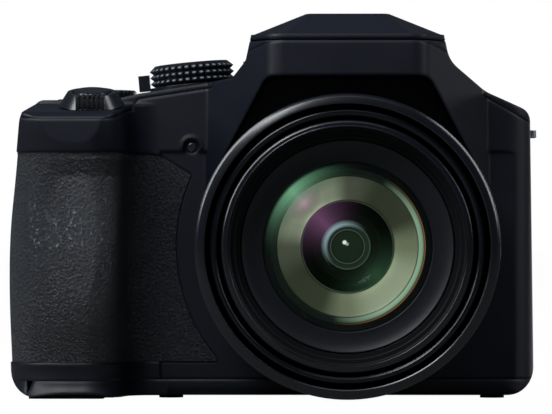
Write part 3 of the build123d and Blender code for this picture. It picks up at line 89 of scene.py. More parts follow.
class Link:
    """One output of a shader node, which can be written in sums like a number."""

    def __init__(self, web, socket):
        self.web = web
        self.socket = socket

    def sum(self, operation, first, second=0.0):
        return self.web.node("Math", {"operation": operation}, {0: first, 1: second})

    def __add__(self, other):
        return self.sum("ADD", self, other)

    def __sub__(self, other):
        return self.sum("SUBTRACT", self, other)

    def __rsub__(self, other):
        return self.sum("SUBTRACT", other, self)

    def __mul__(self, other):
        return self.sum("MULTIPLY", self, other)

    def __truediv__(self, other):
        return self.sum("DIVIDE", self, other)

    def __pow__(self, other):
        return self.sum("POWER", self, other)

    __radd__ = __add__
    __rmul__ = __mul__

    def band(self, low, high):
        """Runs from 0 at low to 1 at high, and keeps to those ends outside them."""
        return self.web.node("MapRange", {"clamp": True},
                             {"Value": self, "From Min": low, "From Max": high})


class Web:
    """The shader nodes of the room or of a material, with the output that they end in."""

    def __init__(self, tree, output_kind):
        self.tree = tree
        self.tree.nodes.clear()
        self.out = self.tree.nodes.new("ShaderNode" + output_kind)

    def node(self, kind, settings, inputs, output=0):
        """Makes one node: its settings or ramp stops first, then what feeds its inputs."""
        made = self.tree.nodes.new("ShaderNode" + kind)
        # What is set on a ramp node sits on the ramp that it holds.
        holder = getattr(made, "color_ramp", made)
        for setting, value in settings.items():
            if setting == "stops":
                self.lay_stops(holder.elements, value)
            else:
                setattr(holder, setting, value)
        for key, value in inputs.items():
            self.feed(made.inputs[key], value)
        return Link(self, made.outputs[output])

    def lay_stops(self, points, stops):
        """Sets the places and colours of a colour ramp."""
        while len(points) < len(stops):
            points.new(0.5)
        for point, (spot, colour) in zip(points, stops):
            point.position = spot
            point.color = (*colour, 1)

    def feed(self, socket, value):
        if isinstance(value, Link):
            self.tree.links.new(value.socket, socket)
        elif isinstance(value, tuple) and socket.type == "RGBA":
            socket.default_value = (*value[:3], 1)
        else:
            socket.default_value = value

    def end(self, shader):
        self.feed(self.out.inputs[0], shader)


world = bpy.data.worlds.new("studio")
bpy.context.scene.world = world
world.use_nodes = True
room = Web(world.node_tree, "OutputWorld")
white = room.node("Background", {}, {"Color": (1, 1, 1)})
fill = room.node("Background", {}, {"Color": ROOM_TINT, "Strength": ROOM_STRENGTH})
in_view = room.node("LightPath", {}, {}, "Is Camera Ray")
through_glass = room.node("LightPath", {}, {}, "Is Transmission Ray")
past_object = in_view.sum("MAXIMUM", in_view, through_glass)
room.end(room.node("MixShader", {}, {0: past_object, 1: fill, 2: white}))

# Floor: a plain sheet under the camera's feet. It glows near white towards the eye, but throws
# back only as much light as a grey one. From below it is open, so that the base can be seen.
FLOOR_HEIGHT = -0.8 * MM
FLOOR_REACH = 30.0
FLOOR_GREY = (0.20, 0.20, 0.20)
FLOOR_GLOW, FLOOR_GLOW_SHARE = 1.06, 0.93
TINY = 1e-6
BEVEL_SAMPLES = 6
# A Mix node's sockets for its two colours, and the one that gives their blend.
MIX_FIRST, MIX_SECOND, MIX_COLOUR = 6, 7, 2


class Finish(Web):
    """A surface finish: a material with one main shader, and the nodes that vary it."""

    def __init__(self, name, colour, rough, **sockets):
        self.material = bpy.data.materials.new(name)
        self.material.use_nodes = True
        super().__init__(self.material.node_tree, "OutputMaterial")
        self.main = self.node("BsdfPrincipled", {}, {"Base Color": colour, "Roughness": rough})
        self.end(self.main)
        for socket_name, value in sockets.items():
            self.put(socket_name.replace("_", " "), value)

    def put(self, socket_name, value):
        self.feed(self.main.socket.node.inputs[socket_name], value)

    def place(self):
        return self.node("TexCoord", {}, {}, "Object")

    def axes(self):
        """The three object coordinates, each as a link of its own."""
        split = self.node("SeparateXYZ", {}, {"Vector": self.place()})
        return [Link(self, socket) for socket in split.socket.node.outputs]

    def noise(self, scale, detail=3.0, rough=0.5):
        return self.node("TexNoise", {}, {"Vector": self.place(), "Scale": scale,
                                          "Detail": detail, "Roughness": rough})

    def cells(self, scale):
        return self.node("TexVoronoi", {"feature": "F1"},
                         {"Vector": self.place(), "Scale": scale}, "Distance")

    def blend(self, share, first, second):
        return self.node("Mix", {"data_type": "RGBA"},
                         {"Factor": share, MIX_FIRST: first, MIX_SECOND: second}, MIX_COLOUR)

    def ramp(self, value, stops, easing="LINEAR"):
        """A colour ramp, from stops of place and colour."""
        return self.node("ValToRGB", {"interpolation": easing, "stops": stops}, {0: value})

    def relief(self, height, depth, strength=1.0, edge=0.0):
        """Fine relief on the surface, over edges that are softened by a small radius."""
        sockets = {"Height": height, "Distance": depth, "Strength": strength}
        if edge:
            sockets["Normal"] = self.node("Bevel", {"samples": BEVEL_SAMPLES},
                                          {"Radius": edge})
        self.put("Normal", self.node("Bump", {}, sockets))

    def round_axis(self, towards, across_by=0.0, up_by=0.0):
        """Distance from a line along the lens, and the cosine of the turn from one side."""
        place_across, _, place_up = self.axes()
        across = place_across - across_by
        up = place_up - (LENS_HEIGHT + up_by)
        reach = (across * across + up * up) ** 0.5
        side = across * cos(radians(towards)) + up * sin(radians(towards))
        return reach, side / (reach + TINY)

    def turn(self, side):
        """The angle in radians, from a cosine kept within its bounds."""
        kept = side.sum("MINIMUM", side.sum("MAXIMUM", side, -1.0), 1.0)
        return kept.sum("ARCCOSINE", kept)

    def dress(self, *names):
        for name in names:
            slots = nodes[name].material_slots
            if not slots:
                nodes[name].data.materials.append(self.material)
            for material_slot in slots:
                material_slot.material = self.material


floor_finish = Finish("pale_floor", FLOOR_GREY, 0.95, Specular_IOR_Level=0.0)
floor_glow = floor_finish.node("Emission", {}, {"Strength": FLOOR_GLOW})
floor_in_view = floor_finish.node("LightPath", {}, {}, "Is Camera Ray")
floor_top = floor_finish.node("MixShader", {}, {0: floor_in_view * FLOOR_GLOW_SHARE,
                                                1: floor_finish.main, 2: floor_glow})
floor_open = floor_finish.node("BsdfTransparent", {}, {})
floor_from_below = floor_finish.node("NewGeometry", {}, {}, "Backfacing")
floor_finish.end(floor_finish.node("MixShader", {}, {0: floor_from_below,
                                                     1: floor_top, 2: floor_open}))
floor_mesh = bpy.data.meshes.new("floor")
floor_mesh.from_pydata([(x * FLOOR_REACH, y * FLOOR_REACH, FLOOR_HEIGHT)
                        for x, y in ((-1, -1), (1, -1), (1, 1), (-1, 1))], [], [(0, 1, 2, 3)])
floor_mesh.materials.append(floor_finish.material)
floor = bpy.data.objects.new("floor", floor_mesh)
bpy.context.collection.objects.link(floor)

# Covers: the body shells, the fixed lens barrel and the flash lid are black moulded plastic,
# with a fine spark-eroded texture, a faint blue cast and softened edges.
cover = Finish("cover_plastic", (0.005, 0.006, 0.010), 0.44, Specular_IOR_Level=0.34)
cover_haze = cover.noise(90.0, 2.0)
cover.put("Base Color", cover.blend(cover_haze, (0.0022, 0.0032, 0.0078),
                                    (0.0034, 0.0046, 0.0104)))
cover.put("Roughness", cover_haze * 0.10 + 0.41)
cover.relief(cover.noise(5200.0, 2.0), depth=0.03 * MM, strength=0.5, edge=1.2 * MM)
cover.dress("front_cover", "top_cover", "rear_cover", "base_cover", "battery_door",
            "lens_outer_barrel", "flash_housing")

# Grip skin: soft black rubber moulded with a fine pebbled grain, glued over the grip. A hollow
# for the middle finger is pressed in below the shutter, as shaded relief on the plain solid.
HOLLOW_TOP, HOLLOW_TOP_EASE = 58.0 * MM, 4.0 * MM
HOLLOW_FOOT, HOLLOW_DEEPEST = 36.0 * MM, 53.5 * MM
HOLLOW_LEFT, HOLLOW_LEFT_EASE = -74.5 * MM, 6.5 * MM
HOLLOW_RIGHT, HOLLOW_RIGHT_EASE = -49.0 * MM, 5.5 * MM
HOLLOW_DEPTH, GRAIN_DEPTH = 2.8 * MM, 0.45 * MM
grip = Finish("grip_rubber", (0.01, 0.01, 0.01), 0.6, Specular_IOR_Level=0.6)
pebble = grip.cells(1250.0)
grain = grip.noise(2600.0, 5.0, 0.7)
speckle = (pebble * 0.55 + grain * 0.85).band(0.42, 0.86)
patch = grip.noise(160.0, 3.0)
grip.put("Base Color", grip.blend(speckle * (patch * 0.8 + 0.3), (0.0018, 0.0024, 0.0040),
                                  (0.021, 0.025, 0.035)))
grip.put("Roughness", 0.60 - speckle * 0.26)
grip_across, _, grip_up = grip.axes()
hollow = grip_up.band(HOLLOW_TOP, HOLLOW_TOP - HOLLOW_TOP_EASE)
hollow = hollow * grip_up.band(HOLLOW_FOOT, HOLLOW_DEEPEST)
hollow = hollow * grip_across.band(HOLLOW_LEFT, HOLLOW_LEFT + HOLLOW_LEFT_EASE)
hollow = hollow * grip_across.band(HOLLOW_RIGHT, HOLLOW_RIGHT - HOLLOW_RIGHT_EASE)
grip.relief(speckle - hollow * (HOLLOW_DEPTH / GRAIN_DEPTH), GRAIN_DEPTH, edge=0.5 * MM)
grip.dress("grip_rubber", "thumb_rest")

# Soft rubber: the eyecup round the finder, the flap over the sockets and the feet under the base
# are moulded in plain matt rubber.
soft = Finish("soft_rubber", (0.016, 0.016, 0.018), 0.72)
soft.relief(soft.noise(3000.0, 2.0), depth=0.04 * MM, strength=0.6, edge=0.6 * MM)
soft.dress("eyecup", "port_door", "base_feet")

# Lens paint: satin black paint on turned aluminium, with faint turning lines. The middle tube
# has it.
ring_paint = Finish("lens_paint", (0.0022, 0.0028, 0.0048), 0.30, Specular_IOR_Level=0.32)
turning = ring_paint.node("TexWave", {"wave_type": "RINGS", "rings_direction": "Y"},
                          {"Vector": ring_paint.place(), "Scale": 700.0, "Distortion": 0.0})
ring_paint.put("Roughness", ring_paint.noise(400.0, 2.0) * 0.06 + 0.16)
ring_paint.relief(turning, depth=0.004 * MM, strength=0.5, edge=0.3 * MM)

# Turned pieces: the lens rings are shapes from a lathe. An outline goes round the lens axis
# once, and its points are places along that axis and radii, both in mm.
LATHE_SIDES = 160
WELD = 1e-7


def turned_piece(name, outline, body, finish, sharp=32):
    """A ring or dome turned about the lens axis. Edges over the sharp angle stay crisp."""
    shape = bmesh.new()
    rings = []
    for along, radius in outline:
        angles = [tau * side / LATHE_SIDES for side in range(LATHE_SIDES)]
        rings.append([shape.verts.new((radius * MM * cos(angle), along * MM,
                                       LENS_HEIGHT + radius * MM * sin(angle)))
                      for angle in angles])
    for ring, after in zip(rings, rings[1:] + rings[:1]):
        for side in range(LATHE_SIDES):
            turn = (side + 1) % LATHE_SIDES
            shape.faces.new((ring[side], ring[turn], after[turn], after[side]))
    bmesh.ops.remove_doubles(shape, verts=shape.verts, dist=WELD)
    bmesh.ops.dissolve_degenerate(shape, edges=shape.edges, dist=WELD)
    bmesh.ops.recalc_face_normals(shape, faces=shape.faces)
    mesh = bpy.data.meshes.new(name)
    shape.to_mesh(mesh)
    shape.free()
    mesh.shade_smooth()
    mesh.set_sharp_from_angle(angle=radians(sharp))
    mesh.materials.append(finish.material)
    piece = bpy.data.objects.new(name, mesh)
    bpy.context.collection.objects.link(piece)
    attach(piece, body)
    return piece


def lip(centre_along, centre_radius, size, start, end, steps):
    """Points on a rounded lip of the given size, by angle from the front to the outside."""
    for step in range(steps + 1):
        angle = radians(start + (end - start) * step / steps)
        yield centre_along - size * cos(angle), centre_radius + size * sin(angle)


# Lens bezel: a black trim ring round the mouth of the fixed barrel. Its front is turned to a
# wide chamfer that catches the light, and its rear edge is round.
BEZEL_BORE, BEZEL_RADIUS = 33.4, 35.8
BEZEL_FRONT, BEZEL_BACK = -85.15, -77.2
BEZEL_ROUND = 0.4
bezel_paint = Finish("bezel_paint", (0.0024, 0.0032, 0.0058), 0.22, Specular_IOR_Level=0.5)
bezel_paint.put("Roughness", bezel_paint.noise(400.0, 2.0) * 0.06 + 0.20)
bezel_paint.relief(bezel_paint.noise(2600.0, 2.0), depth=0.006 * MM, strength=0.3, edge=0.1 * MM)
bezel_nose = [(BEZEL_FRONT + 0.35, BEZEL_BORE), (BEZEL_FRONT + 0.15, BEZEL_BORE + 0.05),
              (BEZEL_FRONT, BEZEL_BORE + 0.3)]
bezel_chamfer = [(BEZEL_FRONT + 0.40, BEZEL_RADIUS - 0.75),
                 (BEZEL_FRONT + 0.45, BEZEL_RADIUS - 0.67),
                 (BEZEL_FRONT + 0.85, BEZEL_RADIUS - 0.15),
                 (BEZEL_FRONT + 1.0, BEZEL_RADIUS - 0.02)]
bezel_rim = [(BEZEL_FRONT + 1.25, BEZEL_RADIUS), (BEZEL_BACK - 0.6, BEZEL_RADIUS),
             *lip(BEZEL_BACK - BEZEL_ROUND, BEZEL_RADIUS - BEZEL_ROUND, BEZEL_ROUND, 90, 160, 3),
             (BEZEL_BACK, BEZEL_BORE)]
bezel_outline = bezel_nose + bezel_chamfer + bezel_rim
bezel_ring = turned_piece("bezel_ring", bezel_outline, "camera_body", bezel_paint, sharp=20)
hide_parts("lens_bezel")

# Middle tube: the first tube to draw out, painted aluminium. It has a round lip in front, and
# a wider foot that runs inside the fixed barrel.
MIDDLE_BORE, MIDDLE_RADIUS, MIDDLE_FOOT = 30.6, 32.4, 33.1
MIDDLE_LIP, MIDDLE_FRONT = 0.8, -83.6
MIDDLE_STEP, MIDDLE_BACK = -38.0, -32.0
middle_outline = [(MIDDLE_FRONT - 0.4, MIDDLE_BORE),
                  *lip(MIDDLE_FRONT, MIDDLE_BORE + MIDDLE_LIP, MIDDLE_LIP, -60, 60, 8),
                  (MIDDLE_FRONT + 0.6, MIDDLE_RADIUS), (MIDDLE_STEP, MIDDLE_RADIUS),
                  (MIDDLE_STEP, MIDDLE_FOOT), (MIDDLE_BACK, MIDDLE_FOOT),
                  (MIDDLE_BACK, MIDDLE_BORE)]
middle_tube = turned_piece("middle_tube", middle_outline, "barrel_mid", ring_paint)
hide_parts("barrel_mid")

# Front tube: the second tube to draw out, also painted aluminium. It carries the glass on a
# flange, and has a wide mouth in front for the filter thread.
FRONT_RADIUS, FRONT_FOOT = 29.6, 30.3
FRONT_END, FRONT_STEP, FRONT_BACK = -84.0, -42.0, -36.0
MOUTH_RADIUS, MOUTH_FLOOR = 28.05, -78.35
TUBE_BORE = 26.4
FLANGE_FRONT, FLANGE_BACK = -75.5, -73.2
FLANGE_BORE, NAME_SEAT = 18.4, 25.3
front_mouth = [(FRONT_END, MOUTH_RADIUS),
               *lip(FRONT_END - 0.35, MOUTH_RADIUS + 0.15, 0.25, -50, 40, 4),
               (FRONT_END - 0.50, FRONT_RADIUS - 0.6), (FRONT_END - 0.45, FRONT_RADIUS - 0.48),
               (FRONT_END - 0.12, FRONT_RADIUS - 0.08)]
front_wall = [(FRONT_END, FRONT_RADIUS), (FRONT_STEP, FRONT_RADIUS), (FRONT_STEP, FRONT_FOOT),
              (FRONT_BACK, FRONT_FOOT), (FRONT_BACK, TUBE_BORE)]
front_flange = [(FLANGE_BACK, TUBE_BORE), (FLANGE_BACK, FLANGE_BORE), (FLANGE_FRONT, FLANGE_BORE),
                (FLANGE_FRONT, NAME_SEAT), (MOUTH_FLOOR, NAME_SEAT), (MOUTH_FLOOR, MOUTH_RADIUS)]
front_outline = front_mouth + front_wall + front_flange
front_tube = turned_piece("front_tube", front_outline, "barrel_front", bezel_paint, sharp=20)
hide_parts("barrel_front")

# Filter thread: matt anodised rings inside the mouth of the front tube, in front of a plain dark
# wall. They stand for the turns of the thread, and aren't a helix.
THREAD_TURNS, THREAD_PITCH = 5, 0.56
THREAD_CREST, THREAD_ROOT = 27.5, 27.78
THREAD_START = -81.2
thread_black = Finish("thread_black", (0.0020, 0.0024, 0.0034), 0.6, Specular_IOR_Level=0.12)
thread_black.put("Roughness", thread_black.noise(700.0) * 0.15 + 0.52)
thread_back, thread_rim = MOUTH_FLOOR - 0.02, MOUTH_RADIUS - 0.01
thread_outline = [(thread_back, NAME_SEAT + 0.05), (thread_back - 0.13, TUBE_BORE - 0.2),
                  (THREAD_START + 0.3, TUBE_BORE), (THREAD_START + 0.15, TUBE_BORE + 0.2),
                  (THREAD_START + 0.1, THREAD_CREST - 0.1)]
for half_turn in range(THREAD_TURNS * 2 + 1):
    thread_outline.append((THREAD_START - half_turn * THREAD_PITCH / 2,
                           THREAD_CREST if half_turn % 2 else THREAD_ROOT))
thread_outline += [(FRONT_END - 0.15, thread_rim - 0.14), (FRONT_END, thread_rim),
                   (thread_back, thread_rim)]
thread_ring = turned_piece("thread_ring", thread_outline, "barrel_front", thread_black)

# Name ring: matt black dished ring round the front glass, seated on the flange. It is left
# bare, with a fine bead at each edge.
NAME_BORE, NAME_RADIUS = 20.02, 25.28
name_paint = Finish("name_ring_paint", (0.0028, 0.0036, 0.0062), 0.46,
                    Specular_IOR_Level=0.3)
name_paint.put("Roughness", name_paint.noise(260.0, 2.0) * 0.1 + 0.42)
name_paint.relief(name_paint.noise(4000.0, 2.0), depth=0.02 * MM, strength=0.4)
name_outline = [(FLANGE_FRONT, NAME_BORE), (FLANGE_FRONT - 1.5, NAME_BORE),
                *lip(FLANGE_FRONT - 1.65, NAME_BORE + 0.28, 0.25, -60, 20, 3),
                (FLANGE_FRONT - 2.4, NAME_BORE + 2.88), (FLANGE_FRONT - 2.8, NAME_BORE + 4.48),
                *lip(FLANGE_FRONT - 2.7, NAME_RADIUS - 0.43, 0.3, -30, 70, 5),
                (FLANGE_FRONT - 2.5, NAME_RADIUS), (FLANGE_FRONT, NAME_RADIUS)]
name_plate = turned_piece("name_plate", name_outline, "barrel_front", name_paint)
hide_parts("name_ring")

# Lens baffle: the satin cone behind the glass. Seen through the coatings it carries painted
# reflection
# and a faint painted glow: pale olive at the lower right and the upper left, darker between, with
# a coloured rim at the right.
CONE_FRONT, CONE_BACK = -71.0, -65.0
CONE_MOUTH, CONE_DRAW, CONE_WAIST = 16.9, 5.4, 11.2
CONE_SHARES = (0.0, 0.1, 0.2, 0.4, 0.6, 0.8, 1.0)
RIM_START, RIM_END = 16.0 * MM, 19.2 * MM
RIM_EDGE, RIM_EDGE_EASE = 16.5 * MM, 0.2 * MM
RIM_SIDE, UPPER_LEFT = -20, 135
baffle = Finish("baffle_painted_sheen", (0.1, 0.12, 0.08), 0.34, Emission_Strength=0.5)
reach, lean = baffle.round_axis(UPPER_LEFT)
rim_lean = baffle.round_axis(RIM_SIDE)[1]
# Painted reflection: pale olive at the lower right and the upper left, darker between.
olive_painted_reflection = baffle.ramp(lean.band(-1.0, 1.0), [
    (0.0, (0.38, 0.43, 0.31)), (0.15, (0.20, 0.225, 0.15)), (0.34, (0.048, 0.056, 0.036)),
    (0.62, (0.045, 0.053, 0.034)), (0.84, (0.10, 0.11, 0.08)), (0.96, (0.32, 0.36, 0.27)),
    (1.0, (0.43, 0.46, 0.37))], "EASE")
# Painted reflection: pale green and orange rims near the outer edge, kept to the right side.
rim = baffle.ramp(reach.band(RIM_START, RIM_END), [
    (0.0, (0.02, 0.02, 0.02)), (0.16, (0.03, 0.03, 0.02)), (0.22, (0.02, 0.03, 0.02)),
    (0.30, (0.36, 0.52, 0.38)), (0.56, (0.28, 0.44, 0.32)), (0.66, (0.03, 0.03, 0.02)),
    (0.74, (0.42, 0.20, 0.05)), (0.86, (0.10, 0.05, 0.03)), (1.0, (0.01, 0.01, 0.01))])
rim_painted_reflection = baffle.blend(rim_lean.band(0.15, 0.75), (0.006, 0.010, 0.008), rim)
rim_share = reach.band(RIM_EDGE, RIM_EDGE + RIM_EDGE_EASE)
baffle_painted_reflection = baffle.blend(rim_share, olive_painted_reflection, rim_painted_reflection)
baffle.put("Base Color", baffle_painted_reflection)
# The painted reflection also glows faintly.
baffle.put("Emission Color", baffle_painted_reflection)
baffle.relief(baffle.noise(900.0, 2.0), depth=0.01 * MM, strength=0.3)


def dome(front, rear, radius, steps):
    """Outline points of a domed face, from the axis at front out to the edge at rear."""
    bulge = rear - front
    curve = (radius ** 2 + bulge ** 2) / (2 * bulge)
    for step in range(steps + 1):
        out = radius * step / steps
        yield front + curve - (curve ** 2 - out ** 2) ** 0.5, out


cone_outline = [(CONE_FRONT - 2.3, CONE_MOUTH + 2.7), (CONE_FRONT - 2.35, CONE_MOUTH + 0.7),
                (CONE_FRONT - 2.0, CONE_MOUTH + 0.3)]
for cone_share in CONE_SHARES:
    cone_outline.append((CONE_FRONT - 0.9 * (1 - cone_share) + 5.6 * cone_share ** 1.5,
                         CONE_MOUTH - CONE_DRAW * cone_share))
cone_outline += [(CONE_BACK - 1.0, CONE_WAIST), (CONE_BACK, CONE_WAIST),
                 (CONE_BACK, CONE_MOUTH + 0.3), (CONE_FRONT, CONE_MOUTH + 2.7)]
cone = turned_piece("baffle_cone", cone_outline, "barrel_front", baffle)
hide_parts("lens_baffle")

# Inner optics: the rear glass in its rings, which moves with the front barrel. Its tones are
# painted reflection and faint glow, by the distance from the lens axis, with violet at the upper
# left and green at the lower right, and a painted highlight spot near the middle.
PUPIL_RADIUS = 11.2 * MM
TINT_START, VIOLET_FULL, GREEN_FULL = 5.0 * MM, 6.2 * MM, 9.0 * MM
VIOLET_TURN, GREEN_TURN = 1.5, 1.4
HALO_START, HALO_FULL = 4.6 * MM, 5.2 * MM
HALO_FADE, HALO_END = 5.4 * MM, 6.4 * MM
SPOT_PLACE, SPOT_CORE, SPOT_EDGE = (-0.7 * MM, 1.0 * MM), 0.28 * MM, 0.62 * MM
TAIL_PLACE, TAIL_CORE, TAIL_EDGE = (-0.1 * MM, 0.6 * MM), 0.2 * MM, 0.5 * MM
REAR_GLASS_RADIUS = 4.1
LINER_FRONT, LINER_BACK = -64.9, -60.0
inner_black = Finish("inner_black", (0.010, 0.011, 0.012), 0.5)
inner_black.relief(inner_black.noise(1500.0, 2.0), depth=0.01 * MM, strength=0.3)
pupil = Finish("rear_group_glass", (0.01, 0.01, 0.015), 0.12, Emission_Strength=0.75,
               Specular_IOR_Level=0.03)
pupil_reach, pupil_lean = pupil.round_axis(UPPER_LEFT)
# Painted reflection: light and dark rings by the distance from the axis.
pupil_painted_reflection = pupil.ramp(pupil_reach.band(0.0, PUPIL_RADIUS), [
    (0.0, (0.010, 0.020, 0.012)), (0.30, (0.012, 0.022, 0.013)), (0.345, (0.006, 0.010, 0.007)),
    (0.355, (0.07, 0.11, 0.08)), (0.375, (0.015, 0.023, 0.018)), (0.46, (0.016, 0.025, 0.019)),
    (0.475, (0.05, 0.08, 0.06)), (0.50, (0.004, 0.006, 0.004)), (0.72, (0.003, 0.004, 0.003)),
    (0.73, (0.001, 0.002, 0.001)), (0.90, (0.001, 0.002, 0.001)), (0.955, (0.001, 0.001, 0.001)),
    (0.975, (0.05, 0.07, 0.05)), (0.99, (0.01, 0.01, 0.01)), (1.0, (0.01, 0.01, 0.01))])
# Painted reflection: violet towards the upper left.
violet = pupil.turn(pupil_lean).band(VIOLET_TURN, 0.0) ** 3.0
violet = violet * pupil_reach.band(TINT_START, VIOLET_FULL)
pupil_painted_reflection = pupil.blend(violet, pupil_painted_reflection, (0.15, 0.062, 0.14))
# Painted reflection: green towards the lower right.
green = pupil.turn(pupil_lean).band(pi - GREEN_TURN, pi) ** 2.0
green = green * pupil_reach.band(TINT_START, GREEN_FULL)
pupil_painted_reflection = pupil.blend(green, pupil_painted_reflection, (0.022, 0.052, 0.030))
# Painted reflection: a pale halo ring, brightest at the upper left.
halo_painted_reflection = pupil_lean.band(-0.2, 1.0) ** 2.0 * pupil_reach.band(HALO_START, HALO_FULL)
halo_painted_reflection = halo_painted_reflection * pupil_reach.band(HALO_END, HALO_FADE)
pupil_painted_reflection = pupil.blend(halo_painted_reflection, pupil_painted_reflection, (0.30, 0.42, 0.48))
# Painted highlight: a bright spot near the middle, with a fainter tail.
spot = pupil.round_axis(0, *SPOT_PLACE)[0].band(SPOT_EDGE, SPOT_CORE)
tail_painted_highlight = pupil.round_axis(0, *TAIL_PLACE)[0].band(TAIL_EDGE, TAIL_CORE)
pupil_painted_reflection = pupil.blend(spot.sum("MAXIMUM", spot, tail_painted_highlight * 0.4), pupil_painted_reflection, (0.9, 1.0, 0.9))
pupil.put("Base Color", pupil_painted_reflection)
# The painted reflection and highlight also glow.
pupil.put("Emission Color", pupil_painted_reflection)
rear_outline = [*dome(-66.2, -63.9, REAR_GLASS_RADIUS, 8),
                (-63.6, REAR_GLASS_RADIUS + 0.2), (-63.9, 5.6), (-63.2, 5.9),
                *lip(-62.4, 8.0, 0.6, -70, -10, 4),
                (-64.2, CONE_WAIST - 0.6), (LINER_FRONT, CONE_WAIST - 0.05),
                (LINER_BACK - 1.0, CONE_WAIST - 0.05), (LINER_BACK - 1.0, 0)]
rear_glass = turned_piece("inner_glass", rear_outline, "barrel_front", pupil)
liner_outline = [(LINER_FRONT, CONE_WAIST + 0.1), (LINER_FRONT, TUBE_BORE - 0.2),
                 (LINER_BACK, TUBE_BORE - 0.2), (LINER_BACK, CONE_WAIST + 0.1)]
baffle_liner = turned_piece("baffle_liner", liner_outline, "barrel_front", inner_black)

# Front glass: a deep domed element. The green crescent and the pink glint at its upper left are
# colour and faint glow laid on the glass, and not reflections. Elsewhere the baffle shows through.
GLASS_RADIUS = 19.95
GLASS_TOP, GLASS_EDGE, GLASS_SEAT = -79.7, -77.2, -75.6
CRESCENT_TURN, CRESCENT_START, CRESCENT_FULL, CRESCENT_FADE = 1.15, 13.8 * MM, 17.8 * MM, 19.0 * MM
SPARK_TURN, SPARK_START, SPARK_FULL = 0.34, 11.2 * MM, 14.0 * MM
SPARK_FADE, SPARK_END = 14.6 * MM, 17.2 * MM
CRESCENT_COVER, SPARK_COVER, SPARK_SHARE = 0.9, 0.7, 0.55
CLEAR_TINT = (0.96, 0.98, 0.95)
COAT_INDEX, COAT_GAIN, COAT_LEAST = 1.3, 0.7, 0.01
coated = Finish("coated_front_glass", (0.02, 0.03, 0.02), 0.03, Specular_Tint=(0.55, 1.0, 0.62),
                Specular_IOR_Level=0.8, Emission_Strength=1.0)
glass_reach, glass_lean = coated.round_axis(UPPER_LEFT)
turned_away = coated.turn(glass_lean)
crescent = turned_away.band(CRESCENT_TURN, 0.0) ** 2.0
crescent = crescent * glass_reach.band(CRESCENT_START, CRESCENT_FULL)
crescent = crescent * glass_reach.band(GLASS_RADIUS * MM, CRESCENT_FADE)
spark = turned_away.band(SPARK_TURN, 0.0) * glass_reach.band(SPARK_START, SPARK_FULL)
spark = spark * glass_reach.band(SPARK_END, SPARK_FADE)
green_glow = coated.blend(crescent, (0.0, 0.0, 0.0), (0.14, 0.34, 0.20))
coated.put("Emission Color", coated.blend(spark * SPARK_SHARE, green_glow, (0.62, 0.42, 0.48)))
clear = coated.node("BsdfTransparent", {}, {"Color": CLEAR_TINT})
bare_share = coated.node("Fresnel", {}, {"IOR": COAT_INDEX}) * COAT_GAIN + COAT_LEAST
coat_share = bare_share.sum("MAXIMUM", bare_share,
                            crescent * CRESCENT_COVER + spark * SPARK_COVER)
coated.end(coated.node("MixShader", {}, {0: coat_share, 1: clear, 2: coated.main}))
glass_outline = [*dome(GLASS_TOP, GLASS_EDGE, GLASS_RADIUS, 24), (GLASS_SEAT, GLASS_RADIUS),
                 (GLASS_SEAT, FLANGE_BORE - 0.4), (GLASS_SEAT + 1.8, 0)]
front_glass = turned_piece("front_glass", glass_outline, "barrel_front", coated)
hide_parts("front_lens")

# Controls: glossier black plastic for the dials, levers and buttons, with edges softened in
# the mould.
CONTROL_BLACK = (0.0065, 0.0078, 0.0110)
control = Finish("control_plastic", CONTROL_BLACK, 0.26)
control_haze = control.noise(160.0, 2.0)
control.put("Roughness", control_haze * 0.10 + 0.20)
control.relief(control.noise(4200.0, 2.0), depth=0.02 * MM, strength=0.4, edge=0.15 * MM)
control.dress("shutter_button", "zoom_lever", "power_lever", "record_button",
              "drive_button", "rear_dial", "flash_button", "lock_button", "playback_button",
              "display_button", "delete_button", "menu_button", "cursor_pad", "diopter_dial",
              "door_lock")

# Mode dial: the same plastic. Its solid has three rings of pyramid studs, and a pale patch is
# laid on the point of each. It stands for the glint there, which the lights don't give.
DIAL_TILT = radians(5.4)
DIAL_PLACE = Vector((-38.9, -3.0, 77.4))
STUD_COUNT, STUD_PITCH = 36, 1.55 * MM
STUD_LOW, STUD_TOP, STUD_TOP_EASE = 0.55 * MM, 5.05 * MM, 0.1 * MM
STUD_ROOT, STUD_TIP = 9.9 * MM, 10.3 * MM
STUD_GLINT = (0.20, 0.215, 0.24)
studs = Finish("dial_studs", CONTROL_BLACK, 0.26)
studs.put("Roughness", studs.noise(160.0, 2.0) * 0.10 + 0.20)
stud_x, stud_y, stud_z = (axis - middle * MM for axis, middle in zip(studs.axes(), DIAL_PLACE))
stud_across = stud_x * cos(DIAL_TILT) + stud_z * sin(DIAL_TILT)
stud_rise = stud_z * cos(DIAL_TILT) - stud_x * sin(DIAL_TILT)
stud_reach = (stud_across * stud_across + stud_y * stud_y) ** 0.5
stud_turn = studs.turn(stud_across / stud_reach)
stud_side = 0.5 - stud_turn.sum("COSINE", stud_turn * STUD_COUNT) * 0.5
stud_row = 0.5 - stud_rise.sum("COSINE", (stud_rise - STUD_LOW) * (tau / STUD_PITCH)) * 0.5
stud_point = (stud_side * stud_row).band(0.25, 0.95)
stud_point = stud_point * stud_rise.band(STUD_TOP, STUD_TOP - STUD_TOP_EASE)
stud_point = stud_point * stud_reach.band(STUD_ROOT, STUD_TIP)
studs.put("Base Color", studs.blend(stud_point, CONTROL_BLACK, STUD_GLINT))
studs.dress("mode_dial")

# Bright metal: plated steel for the strap eyelets, the tripod socket, the screws and the pins.
# The zoom motor's can has the same finish.
metal = Finish("plain_steel", (0.45, 0.45, 0.46), 0.3, Metallic=1.0)
metal.put("Roughness", metal.noise(900.0, 2.0) * 0.2 + 0.22)
metal.relief(metal.noise(1800.0, 2.0), depth=0.01 * MM, strength=0.3, edge=0.2 * MM)
metal.dress("strap_lugs", "tripod_socket", "cover_screws", "door_pin", "flash_pin", "zoom_motor")

